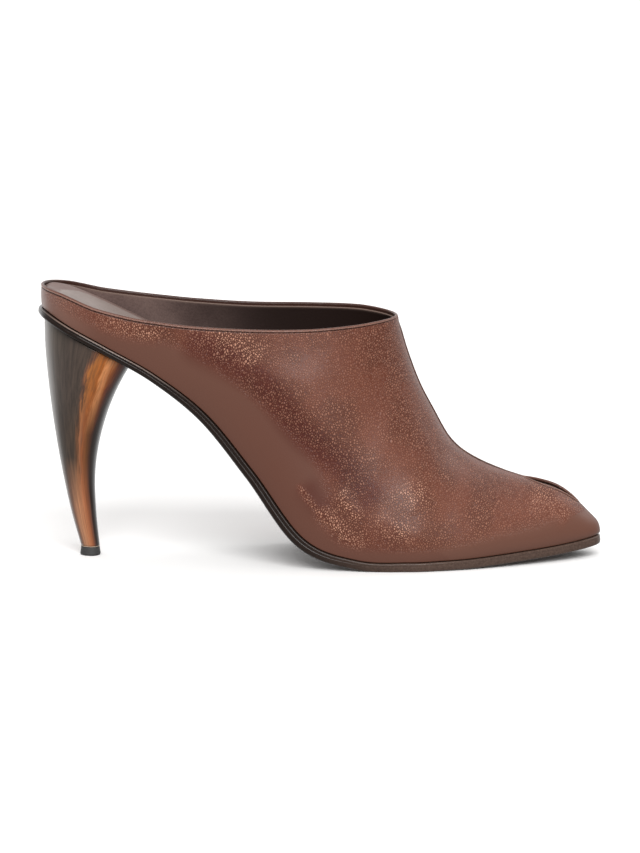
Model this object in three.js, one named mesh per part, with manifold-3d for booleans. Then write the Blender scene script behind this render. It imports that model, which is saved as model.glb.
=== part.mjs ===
// A high-heeled mule for the right foot: a closed leather upper on a curved leather outsole,
// with an insole, a horn-shaped heel and its top piece.
//
// Millimetres. +X runs to the toe, +Y to the inner (medial) side, +Z up.
// The origin is on the floor, under the middle of the tread.

import * as THREE from "three";
import { mergeVertices } from "three/addons/utils/BufferGeometryUtils.js";
import Module from "manifold-3d";

const wasm = await Module();
wasm.setup();

// ---------------------------------------------------------------- driving dimensions

const LAST_LENGTH = 227; // heel back to toe tip, measured along the floor
const HEEL_BACK_X = -149.5; // the heel back, behind the middle of the tread
const BALL_HALF_WIDTH = 37; // half the width of the last's bottom at the ball
const PITCH = 99.3; // the heel seat's back edge above the ball
const INSTEP = 88; // sole to ridge at the throat, along its section
const WALL = 1.8; // leather and lining together
const GAP = 0.3; // between pieces that touch
const SOLE_THICKNESS = 3.6; // under the ball
const WAIST_THICKNESS = 4.5; // under the arch
const SEAT_THICKNESS = 3.1; // over the heel
const TREAD_LEVEL = GAP + SOLE_THICKNESS; // the last's bottom at the ball
const THROAT_HEIGHT = 98.4; // the collar's front point above the floor
const TOP_PIECE_HEIGHT = 3.6;
const HEEL_FOOT = TOP_PIECE_HEIGHT + GAP; // the heel's lowest level
const SEAT_HEIGHT = 99; // the sole's underside at the heel back

// ---------------------------------------------------------------- tables

// The last, one row for each section from the heel back to the toe tip.
// along, pitch, half and rise are percent of LAST_LENGTH, PITCH, BALL_HALF_WIDTH and INSTEP.
// mid and crest are the sideways places of the bottom's middle and of the ridge, tuck is how far
// the wall swells past the bottom's edge, all in mm; lean is the section's tilt to the toe in
// degrees; round is the section's fullness, 2 for an ellipse.
const LAST_COLUMNS = ["along", "pitch", "mid", "half", "tuck", "crest", "lean", "rise", "round"];
const LAST_ROWS = [
  [0.0, 100.0, 0.0, 0.0, 2.0, 0.0, 9, 59, 2.0],
  [1.5, 99.2, 0.0, 34.0, 2.0, 0.0, 11, 68, 2.0],
  [5.8, 94.1, -0.3, 58.0, 1.8, 0.0, 18, 80, 2.0],
  [12.5, 86.2, -0.7, 66.5, 1.8, 0.0, 28, 93, 2.1],
  [21.0, 75.2, -1.5, 65.5, 2.8, 1.0, 34, 105, 2.2],
  [30.0, 59.2, -2.5, 64.5, 4.5, 2.0, 36, 108, 2.3],
  [38.5, 35.9, -3.2, 71.0, 4.5, 3.0, 33, 108, 2.3],
  [47.5, 9.2, -2.6, 86.0, 3.0, 4.0, 26, 100, 2.1],
  [57.0, 0.8, -1.2, 95.0, 2.2, 4.5, 16, 87.5, 1.9],
  [66.0, 0.0, 0.4, 99.5, 2.0, 5.0, 8, 67.0, 1.7],
  [71.5, 0.2, 1.2, 95.5, 2.0, 5.0, 6, 49.3, 1.7],
  [77.5, 0.6, 2.2, 86.5, 2.0, 5.0, 4, 39.2, 1.8],
  [85.0, 1.7, 3.2, 68.0, 1.8, 5.2, 3, 31.1, 1.9],
  [92.5, 3.0, 4.0, 45.0, 1.5, 5.2, 2, 25.0, 2.0],
  [98.0, 4.4, 4.5, 22.0, 1.2, 4.8, 0, 11.4, 2.0],
  [100.0, 5.0, 4.6, 0.0, 1.0, 4.6, 0, 3.5, 2.0],
];

// The collar's edge above or below THROAT_HEIGHT, on each side, in mm; along is percent again.
const COLLAR_COLUMNS = ["along", "outer", "inner"];
const COLLAR_ROWS = [
  [-3.0, 14.8, 14.8],
  [4.0, 11.6, 11.9],
  [10.0, 6.6, 8.4],
  [17.0, 2.8, 6.1],
  [26.0, 0.0, 4.0],
  [37.0, -1.5, 2.5],
  [48.0, -1.8, 2.4],
  [57.0, -0.9, 2.2],
  [63.0, 0.0, 0.9],
  [70.0, 0.0, 0.0],
];

// The insole's height above the last's bottom at its middle, and how far its edges curl up, in mm.
const INSOLE_COLUMNS = ["along", "height", "cup"];
const INSOLE_ROWS = [
  [0, 7.0, 1.6],
  [12, 8.0, 2.0],
  [22, 8.6, 2.2],
  [32, 7.6, 2.4],
  [42, 5.4, 2.0],
  [52, 4.0, 1.2],
  [68, 3.6, 0.8],
  [84, 3.4, 0.6],
  [100, 3.2, 0.4],
];

// The outsole's thickness, and how far its edge stands past the last's bottom edge at its top
// (above) and at its underside (below), in mm.
const EDGE_COLUMNS = ["along", "above", "below", "thickness"];
const EDGE_ROWS = [
  [0, 1.2, -0.4, SEAT_THICKNESS],
  [12, 1.2, -0.6, SEAT_THICKNESS],
  [22, 1.1, -1.6, 1.1 * SEAT_THICKNESS],
  [30, 0.9, -2.6, 0.9 * WAIST_THICKNESS],
  [38, 0.8, -3.0, WAIST_THICKNESS],
  [46, 0.8, -1.6, WAIST_THICKNESS],
  [56, 0.9, 0.0, SOLE_THICKNESS],
  [78, 1.0, 0.2, SOLE_THICKNESS],
  [100, 0.7, -0.1, SOLE_THICKNESS],
];

// The heel, one row for each level slice. up is percent of the way from HEEL_FOOT to SEAT_HEIGHT;
// back and front are mm ahead of the heel back; half is half the width in mm; square is the
// front's fullness, 2 for an ellipse; hollow is how far the breast is scooped out, in mm.
const HEEL_COLUMNS = ["up", "back", "front", "half", "square", "hollow"];
const HEEL_ROWS = [
  [106.3, 1.0, 55.0, 24.0, 3.4, 2.6],
  [88.6, 1.2, 44.3, 23.8, 3.2, 2.4],
  [74.0, 2.3, 35.0, 20.2, 3.0, 1.8],
  [59.4, 3.9, 28.0, 15.0, 2.7, 1.0],
  [44.3, 6.0, 23.4, 10.9, 2.5, 0.4],
  [29.8, 8.5, 21.3, 7.9, 2.3, 0.0],
  [14.6, 11.6, 21.7, 5.8, 2.2, 0.0],
  [0.0, 15.4, 23.0, 4.4, 2.2, 0.0],
];

// ---------------------------------------------------------------- splines

// One column of a table as a smooth curve of the row number. At the ends the curve either
// mirrors, so that it arrives level, or carries straight on through.
function curveOf(columns, rows, name, carriesOn = false) {
  const values = rows.map((row) => row[columns.indexOf(name)]);
  const end = values.length - 1;
  const at = (k) => {
    if (k < 0) return carriesOn ? 2 * values[0] - values[-k] : values[-k];
    if (k > end) return carriesOn ? 2 * values[end] - values[2 * end - k] : values[2 * end - k];
    return values[k];
  };
  return (row) => {
    const k = Math.min(Math.floor(row), end - 1);
    const f = row - k;
    const [a, b, c, d] = [at(k - 1), at(k), at(k + 1), at(k + 2)];
    return b + 0.5 * f * (c - a + f * (2 * a - 5 * b + 4 * c - d + f * (3 * (b - c) + d - a)));
  };
}

// One column of a table as a smooth curve of its rising first column.
function curveAlong(columns, rows, name) {
  const keys = rows.map((row) => row[0]);
  const value = curveOf(columns, rows, name, true);
  return (place) => {
    let k = 0;
    while (k < keys.length - 2 && place > keys[k + 1]) k += 1;
    const f = THREE.MathUtils.clamp((place - keys[k]) / (keys[k + 1] - keys[k]), 0, 1);
    return value(k + f);
  };
}

// ---------------------------------------------------------------- the last

const LAST_END = LAST_ROWS.length - 1;
const lastCurve = (name, carriesOn) => curveOf(LAST_COLUMNS, LAST_ROWS, name, carriesOn);
const last = {
  along: lastCurve("along"),
  pitch: lastCurve("pitch"),
  mid: lastCurve("mid"),
  half: lastCurve("half", true),
  tuck: lastCurve("tuck"),
  crest: lastCurve("crest"),
  lean: lastCurve("lean"),
  rise: lastCurve("rise", true),
  round: lastCurve("round"),
};
const bottomX = (row) => HEEL_BACK_X + (last.along(row) / 100) * LAST_LENGTH;
const bottomZ = (row) => TREAD_LEVEL + (last.pitch(row) / 100) * PITCH;
const bottomHalf = (row) => (last.half(row) / 100) * BALL_HALF_WIDTH;
const SMALL = 1e-3; // of a row, for slopes

// The bottom's edge in plan on one side (-1 outer, +1 inner), and the way out from it.
function bottomEdge(row, side) {
  const y = (r) => last.mid(r) + side * bottomHalf(r);
  const dx = bottomX(row + SMALL) - bottomX(row - SMALL);
  const dy = y(row + SMALL) - y(row - SMALL);
  const length = Math.hypot(dx, dy);
  return { x: bottomX(row), y: y(row), outX: (-side * dy) / length, outY: (side * dx) / length };
}

// How far the wall swells past the bottom's edge at a share of the section's rise.
const SWELL_POWER = 8;
const swell = (row, share) => last.tuck(row) * (1 - (1 - share) ** SWELL_POWER);

// A point of the last. turn goes from 0 at the bottom's edge to a quarter turn at the ridge.
function lastPoint(row, side, turn) {
  const edge = bottomEdge(row, side);
  const rise = (last.rise(row) / 100) * INSTEP;
  const share = Math.sin(turn) ** (2 / last.round(row));
  const drawn = Math.cos(turn);
  const out = swell(row, share) * drawn;
  const lean = THREE.MathUtils.degToRad(last.lean(row));
  const middle = THREE.MathUtils.lerp(last.mid(row), last.crest(row), share);
  return new THREE.Vector3(
    bottomX(row) + rise * share * Math.sin(lean) + edge.outX * out,
    middle + (edge.y - last.mid(row)) * drawn + edge.outY * out,
    bottomZ(row) + rise * share * Math.cos(lean),
  );
}

// ---------------------------------------------------------------- meshes and solids

const WELD = 1e-3; // mm; points this close are one

// The triangles between the rows of a grid of points; around closes each row on itself.
function gridTriangles(rows, columns, around) {
  const triangles = [];
  const steps = around ? columns : columns - 1;
  for (let i = 0; i < rows - 1; i += 1) {
    for (let j = 0; j < steps; j += 1) {
      const next = (j + 1) % columns;
      const [a, b] = [i * columns + j, i * columns + next];
      const [c, d] = [a + columns, b + columns];
      triangles.push(a, c, b, b, c, d);
    }
  }
  return triangles;
}

// One geometry with shared vertices merged and collapsed triangles left out.
function welded(points, triangles) {
  const geometry = new THREE.BufferGeometry().setFromPoints(points).setIndex(triangles);
  const merged = mergeVertices(geometry, WELD);
  const kept = [];
  const index = merged.index.array;
  for (let k = 0; k < index.length; k += 3) {
    const [a, b, c] = [index[k], index[k + 1], index[k + 2]];
    if (a !== b && b !== c && c !== a) kept.push(a, b, c);
  }
  return merged.setIndex(kept);
}

// A closed geometry as a solid, with its faces turned outwards.
function solidOf(geometry) {
  const made = new wasm.Manifold(
    new wasm.Mesh({
      numProp: 3,
      vertProperties: new Float32Array(geometry.attributes.position.array),
      triVerts: new Uint32Array(geometry.index.array),
    }),
  );
  if (made.volume() > 0) return made;
  const index = geometry.index.array;
  for (let k = 0; k < index.length; k += 3) [index[k], index[k + 1]] = [index[k + 1], index[k]];
  return solidOf(geometry);
}

// The solid between the sections of a loft, each a closed row of points. The first and last
// sections either shrink to a line or a point, or are closed with a fan.
function loft(sections) {
  const count = sections[0].length;
  const points = sections.flat();
  const triangles = gridTriangles(sections.length, count, true);
  const final = (sections.length - 1) * count;
  for (let j = 1; j < count - 1; j += 1) {
    triangles.push(0, j, j + 1);
    triangles.push(final, final + j + 1, final + j);
  }
  return solidOf(welded(points, triangles));
}

// A three.js geometry class as a solid.
function solidOfClass(geometry) {
  geometry.deleteAttribute("normal");
  geometry.deleteAttribute("uv");
  return solidOf(mergeVertices(geometry, WELD));
}

function mesh(name, solid, material) {
  const made = solid.getMesh();
  const geometry = new THREE.BufferGeometry()
    .setAttribute("position", new THREE.BufferAttribute(new Float32Array(made.vertProperties), 3))
    .setIndex(new THREE.BufferAttribute(made.triVerts, 1));
  geometry.computeVertexNormals();
  const piece = new THREE.Mesh(geometry, material);
  piece.name = name;
  return piece;
}

// ---------------------------------------------------------------- upper

const STEPS_PER_ROW = 4; // sections made between two rows of the last's table
const SECTIONS = LAST_END * STEPS_PER_ROW;
const rowAt = (i) => i / STEPS_PER_ROW;
const WALL_STEPS = 13; // from the bottom's edge to the ridge
const LOW_STEPS = 1.4; // above 1, the steps are closer together near the bottom

// The wall's outer face, outer side's edge over the ridge to the inner side's edge, with the
// lining's face one wall inside it, closed along the bottom's edge.
function upperShell() {
  const columns = 2 * WALL_STEPS + 1;
  const outer = [];
  for (let i = 0; i <= SECTIONS; i += 1) {
    for (let j = -WALL_STEPS; j <= WALL_STEPS; j += 1) {
      const share = 1 - Math.abs(j) / WALL_STEPS;
      const turn = (Math.PI / 2) * share ** LOW_STEPS;
      outer.push(lastPoint(rowAt(i), j < 0 ? -1 : 1, turn));
    }
  }
  const faces = gridTriangles(SECTIONS + 1, columns, false);
  const normals = vertexNormals(outer, faces);
  const inner = outer.map((p, k) => p.clone().addScaledVector(normals[k], -WALL));
  const count = outer.length;
  const triangles = [...faces];
  for (let k = 0; k < faces.length; k += 3) {
    triangles.push(count + faces[k], count + faces[k + 2], count + faces[k + 1]);
  }
  for (let i = 0; i < SECTIONS; i += 1) {
    const [a, b] = [i * columns, (i + 1) * columns];
    triangles.push(a, count + a, b, b, count + a, count + b);
    const [c, d] = [a + columns - 1, b + columns - 1];
    triangles.push(c, d, count + c, d, count + d, count + c);
  }
  return solidOf(welded([...outer, ...inner], triangles));
}

// The surface's normal at each point, shared by points in one place.
function vertexNormals(points, triangles) {
  const loose = new THREE.BufferGeometry().setFromPoints(points).setIndex(triangles);
  const merged = mergeVertices(loose, WELD);
  merged.computeVertexNormals();
  const normals = points.map(() => new THREE.Vector3());
  triangles.forEach((corner, k) => {
    normals[corner].fromBufferAttribute(merged.attributes.normal, merged.index.getX(k));
  });
  return normals;
}

const CUTTER_HALF_WIDTH = 70;
const CUTTER_TOP = 320;
const COLLAR_STEPS = 40;
const COLLAR_BLEND = 29.4; // from the outer side's height to the inner's, this far off the middle
const COLLAR_ACROSS = [-21, -10.5, 0, 10.5, 21]; // the cutter's points between those

// Everything above the collar's edge.
function aboveCollar() {
  const first = COLLAR_ROWS[0][0];
  const final = COLLAR_ROWS[COLLAR_ROWS.length - 1][0];
  const outer = curveAlong(COLLAR_COLUMNS, COLLAR_ROWS, "outer");
  const inner = curveAlong(COLLAR_COLUMNS, COLLAR_ROWS, "inner");
  const half = CUTTER_HALF_WIDTH;
  const across = [-half, -COLLAR_BLEND, ...COLLAR_ACROSS, COLLAR_BLEND, half];
  const sections = [];
  for (let i = 0; i <= COLLAR_STEPS; i += 1) {
    const along = THREE.MathUtils.lerp(first, final, i / COLLAR_STEPS);
    const x = HEEL_BACK_X + (along / 100) * LAST_LENGTH;
    const under = across.map((y) => {
      const blend = THREE.MathUtils.smoothstep(y, -COLLAR_BLEND, COLLAR_BLEND);
      const height = THREE.MathUtils.lerp(outer(along), inner(along), blend);
      return new THREE.Vector3(x, y, THROAT_HEIGHT + height);
    });
    const over = [1, -1].map((side) => new THREE.Vector3(x, side * half, CUTTER_TOP));
    sections.push([...under, ...over]);
  }
  return loft(sections);
}

const SLIT_LENGTH = 23;
const SLIT_HALF_WIDTH = 4.6;
const SLIT_X = 58.5; // its middle
const SLIT_Y = 4.2;
const SLIT_FORWARD = 2; // its widest place is this far ahead of its middle
const SLIT_FROM = 14; // the cutter's lowest level, above the insole
const SLIT_REACH = 50; // and its height

// The almond slit over the toes, cut straight down.
function toeSlit() {
  const half = SLIT_LENGTH / 2;
  const widest = SLIT_X + SLIT_FORWARD;
  const almond = new THREE.Shape();
  almond.moveTo(SLIT_X - half, SLIT_Y);
  almond.quadraticCurveTo(widest, SLIT_Y - 2 * SLIT_HALF_WIDTH, SLIT_X + half, SLIT_Y);
  almond.quadraticCurveTo(widest, SLIT_Y + 2 * SLIT_HALF_WIDTH, SLIT_X - half, SLIT_Y);
  const cutter = new THREE.ExtrudeGeometry(almond, {
    depth: SLIT_REACH,
    bevelEnabled: false,
    curveSegments: 10,
  });
  return solidOfClass(cutter.translate(0, 0, SLIT_FROM));
}

function upper() {
  return upperShell().subtract(aboveCollar()).subtract(toeSlit());
}

// ---------------------------------------------------------------- outsole and insole

// A point of the bottom, moved out in plan and up along the bottom's own normal.
function bottomPoint(row, side, out, up) {
  const edge = bottomEdge(row, side);
  const slope = bottomSlope(row);
  return new THREE.Vector3(
    edge.x + edge.outX * out - up * Math.sin(slope),
    edge.y + edge.outY * out,
    bottomZ(row) + up * Math.cos(slope),
  );
}

// The bottom's slope along the shoe. Its ends, where the curve has no length, take the slope
// beside them.
const END_ROW = 0.5;
function bottomSlope(row) {
  const near = THREE.MathUtils.clamp(row, END_ROW, LAST_END - END_ROW);
  const dx = bottomX(near + SMALL) - bottomX(near - SMALL);
  const dz = bottomZ(near + SMALL) - bottomZ(near - SMALL);
  return Math.atan2(dz, dx);
}

const EDGE_CORNER = 0.4; // bevelled off the edge's top corner
const EDGE_DROP = 1.3; // the edge stays upright this far below its top
const EDGE_FOOT = 0.7; // the bevel under it ends this far above the underside
function outsole() {
  const along = (name) => curveAlong(EDGE_COLUMNS, EDGE_ROWS, name);
  const [above, below, thickness] = [along("above"), along("below"), along("thickness")];
  const sections = [];
  for (let i = 0; i <= SECTIONS; i += 1) {
    const row = rowAt(i);
    const place = last.along(row);
    const bottom = -GAP - thickness(place);
    const side = (way) => {
      const corners = [
        bottomPoint(row, way, above(place) - EDGE_CORNER, -GAP),
        bottomPoint(row, way, above(place), -GAP - EDGE_CORNER),
        bottomPoint(row, way, above(place), -GAP - EDGE_DROP),
        bottomPoint(row, way, 0.4 * above(place) + 0.6 * below(place), bottom + EDGE_FOOT),
        bottomPoint(row, way, below(place), bottom),
      ];
      corners.forEach((corner) => {
        corner.z = Math.max(corner.z, 0); // the tread is flat where it meets the floor
      });
      return corners;
    };
    sections.push([...side(-1), ...side(1).reverse()]);
  }
  return loft(sections);
}

const INSOLE_INSET = WALL + 0.7; // clears the lining where the wall leans outwards
const INSOLE_ACROSS = [-0.72, -0.4, 0, 0.4, 0.72]; // shares of the half width
function insole() {
  const along = (name) => curveAlong(INSOLE_COLUMNS, INSOLE_ROWS, name);
  const [height, cup] = [along("height"), along("cup")];
  const sections = [];
  for (let i = 0; i <= SECTIONS; i += 1) {
    const row = rowAt(i);
    const place = last.along(row);
    const rise = (last.rise(row) / 100) * INSTEP;
    const [middle, curl] = [height(place), cup(place)];
    const edgeAt = (side, up) =>
      bottomPoint(row, side, swell(row, Math.min(up / rise, 1)) - INSOLE_INSET, up);
    const top = (share) => {
      const ends = [edgeAt(-1, middle), edgeAt(1, middle)];
      const point = ends[0].clone().lerp(ends[1], 0.5 * (share + 1));
      point.z += curl * share ** 2;
      return point;
    };
    sections.push([
      edgeAt(-1, 0),
      edgeAt(-1, 0.5 * middle),
      ...[-1, ...INSOLE_ACROSS, 1].map(top),
      edgeAt(1, 0.5 * middle),
      edgeAt(1, 0),
    ]);
  }
  return loft(sections);
}

// ---------------------------------------------------------------- heel and top piece

const heelCurve = (name) => curveOf(HEEL_COLUMNS, HEEL_ROWS, name, true);
const HEEL_AROUND = 28;
const HEEL_STEPS_PER_ROW = 3;
const HEEL_SHARE_BEHIND = 0.58; // of a slice's length lies behind its widest place

// A level slice of the heel: a half ellipse behind and a squarer, scooped breast in front.
function heelSlice(row, grow = 0) {
  const [back, front] = [heelCurve("back")(row), heelCurve("front")(row)];
  const half = heelCurve("half")(row);
  const square = heelCurve("square")(row);
  const hollow = heelCurve("hollow")(row);
  const centre = THREE.MathUtils.lerp(back, front, HEEL_SHARE_BEHIND);
  const z = THREE.MathUtils.lerp(HEEL_FOOT, SEAT_HEIGHT, heelCurve("up")(row) / 100);
  const slice = [];
  for (let k = 0; k < HEEL_AROUND; k += 1) {
    const turn = (2 * Math.PI * k) / HEEL_AROUND;
    const [c, s] = [Math.cos(turn), Math.sin(turn)];
    const power = c > 0 ? 2 / square : 1;
    const reach = c > 0 ? front - centre : centre - back;
    const x = centre + Math.sign(c) * (reach + grow) * Math.abs(c) ** power;
    const scoop = c > 0 ? hollow * c ** 4 : 0;
    const y = Math.sign(s) * (half + grow) * Math.abs(s) ** power;
    slice.push(new THREE.Vector3(HEEL_BACK_X + x - scoop, y, z));
  }
  return slice;
}

const SEAT_LAST_ROW = 6; // of the last, well ahead of the heel
const SEAT_BEHIND = 20; // the cutter starts this far behind the heel

// Everything above a gap under the outsole, over the heel.
function aboveSeat() {
  const depth = SEAT_THICKNESS + 2 * GAP;
  const line = [];
  for (let i = 1; i <= SEAT_LAST_ROW * STEPS_PER_ROW; i += 1) {
    line.push(bottomPoint(rowAt(i), 1, 0, -depth));
  }
  const [first, second] = line;
  const slope = (second.z - first.z) / (second.x - first.x);
  const behind = first.clone();
  behind.x -= SEAT_BEHIND;
  behind.z -= SEAT_BEHIND * slope;
  const half = CUTTER_HALF_WIDTH;
  return loft([behind, ...line].map(({ x, z }) => [
    new THREE.Vector3(x, -half, z),
    new THREE.Vector3(x, half, z),
    new THREE.Vector3(x, half, CUTTER_TOP),
    new THREE.Vector3(x, -half, CUTTER_TOP),
  ]));
}

function heel() {
  const sections = [];
  const end = (HEEL_ROWS.length - 1) * HEEL_STEPS_PER_ROW;
  for (let i = 0; i <= end; i += 1) sections.push(heelSlice(i / HEEL_STEPS_PER_ROW));
  return loft(sections).subtract(aboveSeat());
}

// The top piece carries on the heel's lowest slice down to the floor, a little wider below.
const TOP_PIECE_FLARE = 0.35;
const TOP_PIECE_CHAMFER = 0.6;
function topPiece() {
  const lowest = HEEL_ROWS.length - 1;
  const levels = [
    { z: TOP_PIECE_HEIGHT, grow: 0 },
    { z: TOP_PIECE_CHAMFER, grow: TOP_PIECE_FLARE },
    { z: 0, grow: 0 },
  ];
  return loft(
    levels.map(({ z, grow }) => heelSlice(lowest, grow).map((p) => p.clone().setZ(z))),
  );
}

// ---------------------------------------------------------------- the shoe

const material = (color, roughness, metalness = 0) =>
  new THREE.MeshStandardMaterial({ color, roughness, metalness });
const glazedLeather = material(0x7a4c3e, 0.4);
const sockLeather = material(0x9c8a84, 0.6);
const soleLeather = material(0x3a322c, 0.45);
const lacqueredHorn = material(0x6b4a33, 0.2);
const rubber = material(0x4b4b4a, 0.7);

const shoe = new THREE.Group();
shoe.add(
  mesh("upper", upper(), glazedLeather),
  mesh("insole", insole(), sockLeather),
  mesh("outsole", outsole(), soleLeather),
  mesh("heel", heel(), lacqueredHorn),
  mesh("top_piece", topPiece(), rubber),
);

export default shoe;
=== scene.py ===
"""The looks of a high-heeled mule: glazed calf upper, lining, sock, leather sole, horn heel.

Lengths in this script are millimetres in the shoe's frame, +X to the toe, +Y to the inner side,
+Z up, until a mesh is made, which is in metres. Sides are -1 for the outer and +1 for the inner.
"""

import math

import bpy
import numpy as np
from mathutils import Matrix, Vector


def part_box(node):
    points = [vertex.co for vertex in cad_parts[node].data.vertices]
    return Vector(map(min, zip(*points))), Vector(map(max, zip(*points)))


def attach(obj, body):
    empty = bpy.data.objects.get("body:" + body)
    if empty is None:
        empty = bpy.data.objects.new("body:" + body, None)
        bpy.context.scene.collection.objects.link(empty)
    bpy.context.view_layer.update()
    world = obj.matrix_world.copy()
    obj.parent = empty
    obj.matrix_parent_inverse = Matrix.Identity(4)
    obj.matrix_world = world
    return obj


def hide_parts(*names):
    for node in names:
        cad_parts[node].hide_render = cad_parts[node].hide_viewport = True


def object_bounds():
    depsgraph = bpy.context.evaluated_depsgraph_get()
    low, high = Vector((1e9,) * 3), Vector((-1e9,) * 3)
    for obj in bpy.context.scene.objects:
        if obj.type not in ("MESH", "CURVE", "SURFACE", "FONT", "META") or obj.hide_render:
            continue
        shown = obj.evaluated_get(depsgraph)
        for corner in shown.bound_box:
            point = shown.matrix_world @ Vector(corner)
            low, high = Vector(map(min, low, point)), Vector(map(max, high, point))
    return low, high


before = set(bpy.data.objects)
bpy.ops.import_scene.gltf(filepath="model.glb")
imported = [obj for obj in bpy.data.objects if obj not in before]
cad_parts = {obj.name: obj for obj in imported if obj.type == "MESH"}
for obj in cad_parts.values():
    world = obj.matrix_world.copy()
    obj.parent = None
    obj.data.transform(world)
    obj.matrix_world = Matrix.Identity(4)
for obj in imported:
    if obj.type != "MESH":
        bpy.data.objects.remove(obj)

cad_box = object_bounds()

MM = 0.001
OUTER, INNER = -1, 1
SIDES = (OUTER, INNER)

# ------------------------------------------------------------------ driving sizes

sole_low, sole_high = (np.array(corner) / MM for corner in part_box("outsole"))
TIP_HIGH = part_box("top_piece")[1][2] / MM
HEEL_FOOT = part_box("heel")[0][2] / MM

BACK_OVERHANG = 1.2  # of the sole past the upper at the heel back
TOE_OVERHANG = 0.7
HEEL_BACK_X = sole_low[0] + BACK_OVERHANG
LAST_LENGTH = sole_high[0] - TOE_OVERHANG - HEEL_BACK_X
BALL_HALF_WIDTH = 37.0
PITCH = 99.3
INSTEP = 88.0
WALL = 1.8
GAP = 0.3
SOLE_THICKNESS = 3.6
WAIST_THICKNESS = 4.5
SEAT_THICKNESS = 3.1
TREAD_LEVEL = GAP + SOLE_THICKNESS
THROAT_HEIGHT = 98.4
SEAT_HEIGHT = 99.0
SLIT_MIDDLE_X = 58.5
SLIT_LENGTH = 23.0
SLIT_HALF_WIDTH = 5.6

# The last: one row for each section from the heel back to the toe tip, as in the solids.
LAST = {
    "along": [0, 1.5, 5.8, 12.5, 21, 30, 38.5, 47.5, 57, 66, 71.5, 77.5, 85, 92.5, 98, 100],
    "pitch": [100, 99.2, 94.1, 86.2, 75.2, 59.2, 35.9, 9.2, 0.8, 0, 0.2, 0.6, 1.7, 3.0, 4.4, 5.0],
    "mid": [0, 0, -0.3, -0.7, -1.5, -2.5, -3.2, -2.6, -1.2, 0.4, 1.2, 2.2, 3.2, 4.0, 4.5, 4.6],
    "half": [0, 34, 58, 66.5, 65.5, 64.5, 71, 86, 95, 99.5, 95.5, 86.5, 68, 45, 22, 0],
    "tuck": [2, 2, 1.8, 1.8, 2.8, 4.5, 4.5, 3.0, 2.2, 2, 2, 2, 1.8, 1.5, 1.2, 1],
    "crest": [0, 0, 0, 0, 1, 2, 3, 4, 4.5, 5, 5, 5, 5.2, 5.2, 4.8, 4.6],
    "lean": [9, 11, 18, 28, 34, 36, 33, 26, 16, 8, 6, 4, 3, 2, 0, 0],
    "rise": [59, 68, 80, 93, 105, 108, 108, 100, 87.5, 67, 49.3, 39.2, 31.1, 25, 11.4, 3.5],
    "round": [2, 2, 2, 2.1, 2.2, 2.3, 2.3, 2.1, 1.9, 1.7, 1.7, 1.8, 1.9, 2, 2, 2],
}
CARRIES_ON = ("half", "rise")  # these columns run straight through the ends
LAST_END = len(LAST["along"]) - 1

# The collar's edge above or below the throat, on each side.
COLLAR = {
    "along": [-3, 4, 10, 17, 26, 37, 48, 57, 63, 70],
    "outer": [14.8, 11.6, 6.6, 2.8, 0, -1.5, -1.8, -0.9, 0, 0],
    "inner": [14.8, 11.9, 8.4, 6.1, 4, 2.5, 2.4, 2.2, 0.9, 0],
}
COLLAR_BLEND = 29.4  # the two heights blend over this distance either side of the middle

# The sole's edge past the last's bottom edge, and its thickness.
SOLE_EDGE = {
    "along": [0, 12, 22, 30, 38, 46, 56, 78, 100],
    "above": [1.2, 1.2, 1.1, 0.9, 0.8, 0.8, 0.9, 1.0, 0.7],
    "below": [-0.4, -0.6, -1.6, -2.6, -3.0, -1.6, 0.0, 0.2, -0.1],
    "thickness": [
        *[SEAT_THICKNESS] * 2, 1.1 * SEAT_THICKNESS, 0.9 * WAIST_THICKNESS,
        *[WAIST_THICKNESS] * 2, *[SOLE_THICKNESS] * 3,
    ],
}

INSOLE = {
    "along": [0, 12, 22, 32, 42, 52, 68, 84, 100],
    "height": [7.0, 8.0, 8.6, 7.6, 5.4, 4.0, 3.6, 3.4, 3.2],
    "cup": [1.6, 2.0, 2.2, 2.4, 2.0, 1.2, 0.8, 0.6, 0.4],
}

# The heel: level slices from the top down.
HEEL = {
    "up": [106.3, 88.6, 74, 59.4, 44.3, 29.8, 14.6, 0],
    "back": [1.0, 1.2, 2.3, 3.9, 6.0, 8.5, 11.6, 15.4],
    "front": [55.0, 44.3, 35.0, 28.0, 23.4, 21.3, 21.7, 23.0],
    "half": [24, 23.8, 20.2, 15, 10.9, 7.9, 5.8, 4.4],
    "square": [3.4, 3.2, 3.0, 2.7, 2.5, 2.3, 2.2, 2.2],
    "hollow": [2.6, 2.4, 1.8, 1.0, 0.4, 0, 0, 0],
}

# ------------------------------------------------------------------ splines


def spline(values, at, carries_on=True):
    """The smooth curve through values, at real-numbered places. Past its ends it either
    carries on straight through or mirrors, so that it arrives level."""
    values = np.asarray(values, float)
    if carries_on:
        before, after = 2 * values[0] - values[1], 2 * values[-1] - values[-2]
    else:
        before, after = values[1], values[-2]
    padded = np.concatenate([[before], values, [after]])
    at = np.asarray(at, float)
    k = np.clip(np.floor(at).astype(int), 0, len(values) - 2)
    f = at - k
    a, b, c, d = (padded[k + i] for i in range(4))
    return b + 0.5 * f * (c - a + f * (2 * a - 5 * b + 4 * c - d + f * (3 * (b - c) + d - a)))


def spline_along(table, name, place):
    """A column of a table as a smooth curve of its rising column "along"."""
    keys = np.asarray(table["along"], float)
    place = np.asarray(place, float)
    k = np.clip(np.searchsorted(keys, place, side="left") - 1, 0, len(keys) - 2)
    f = np.clip((place - keys[k]) / (keys[k + 1] - keys[k]), 0, 1)
    return spline(table[name], k + f)


def smoothstep(value, low, high):
    t = np.clip((value - low) / (high - low), 0, 1)
    return t * t * (3 - 2 * t)


def unit(vectors):
    length = np.linalg.norm(vectors, axis=-1, keepdims=True)
    return vectors / np.maximum(length, 1e-12)


# ------------------------------------------------------------------ the last's surface

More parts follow.
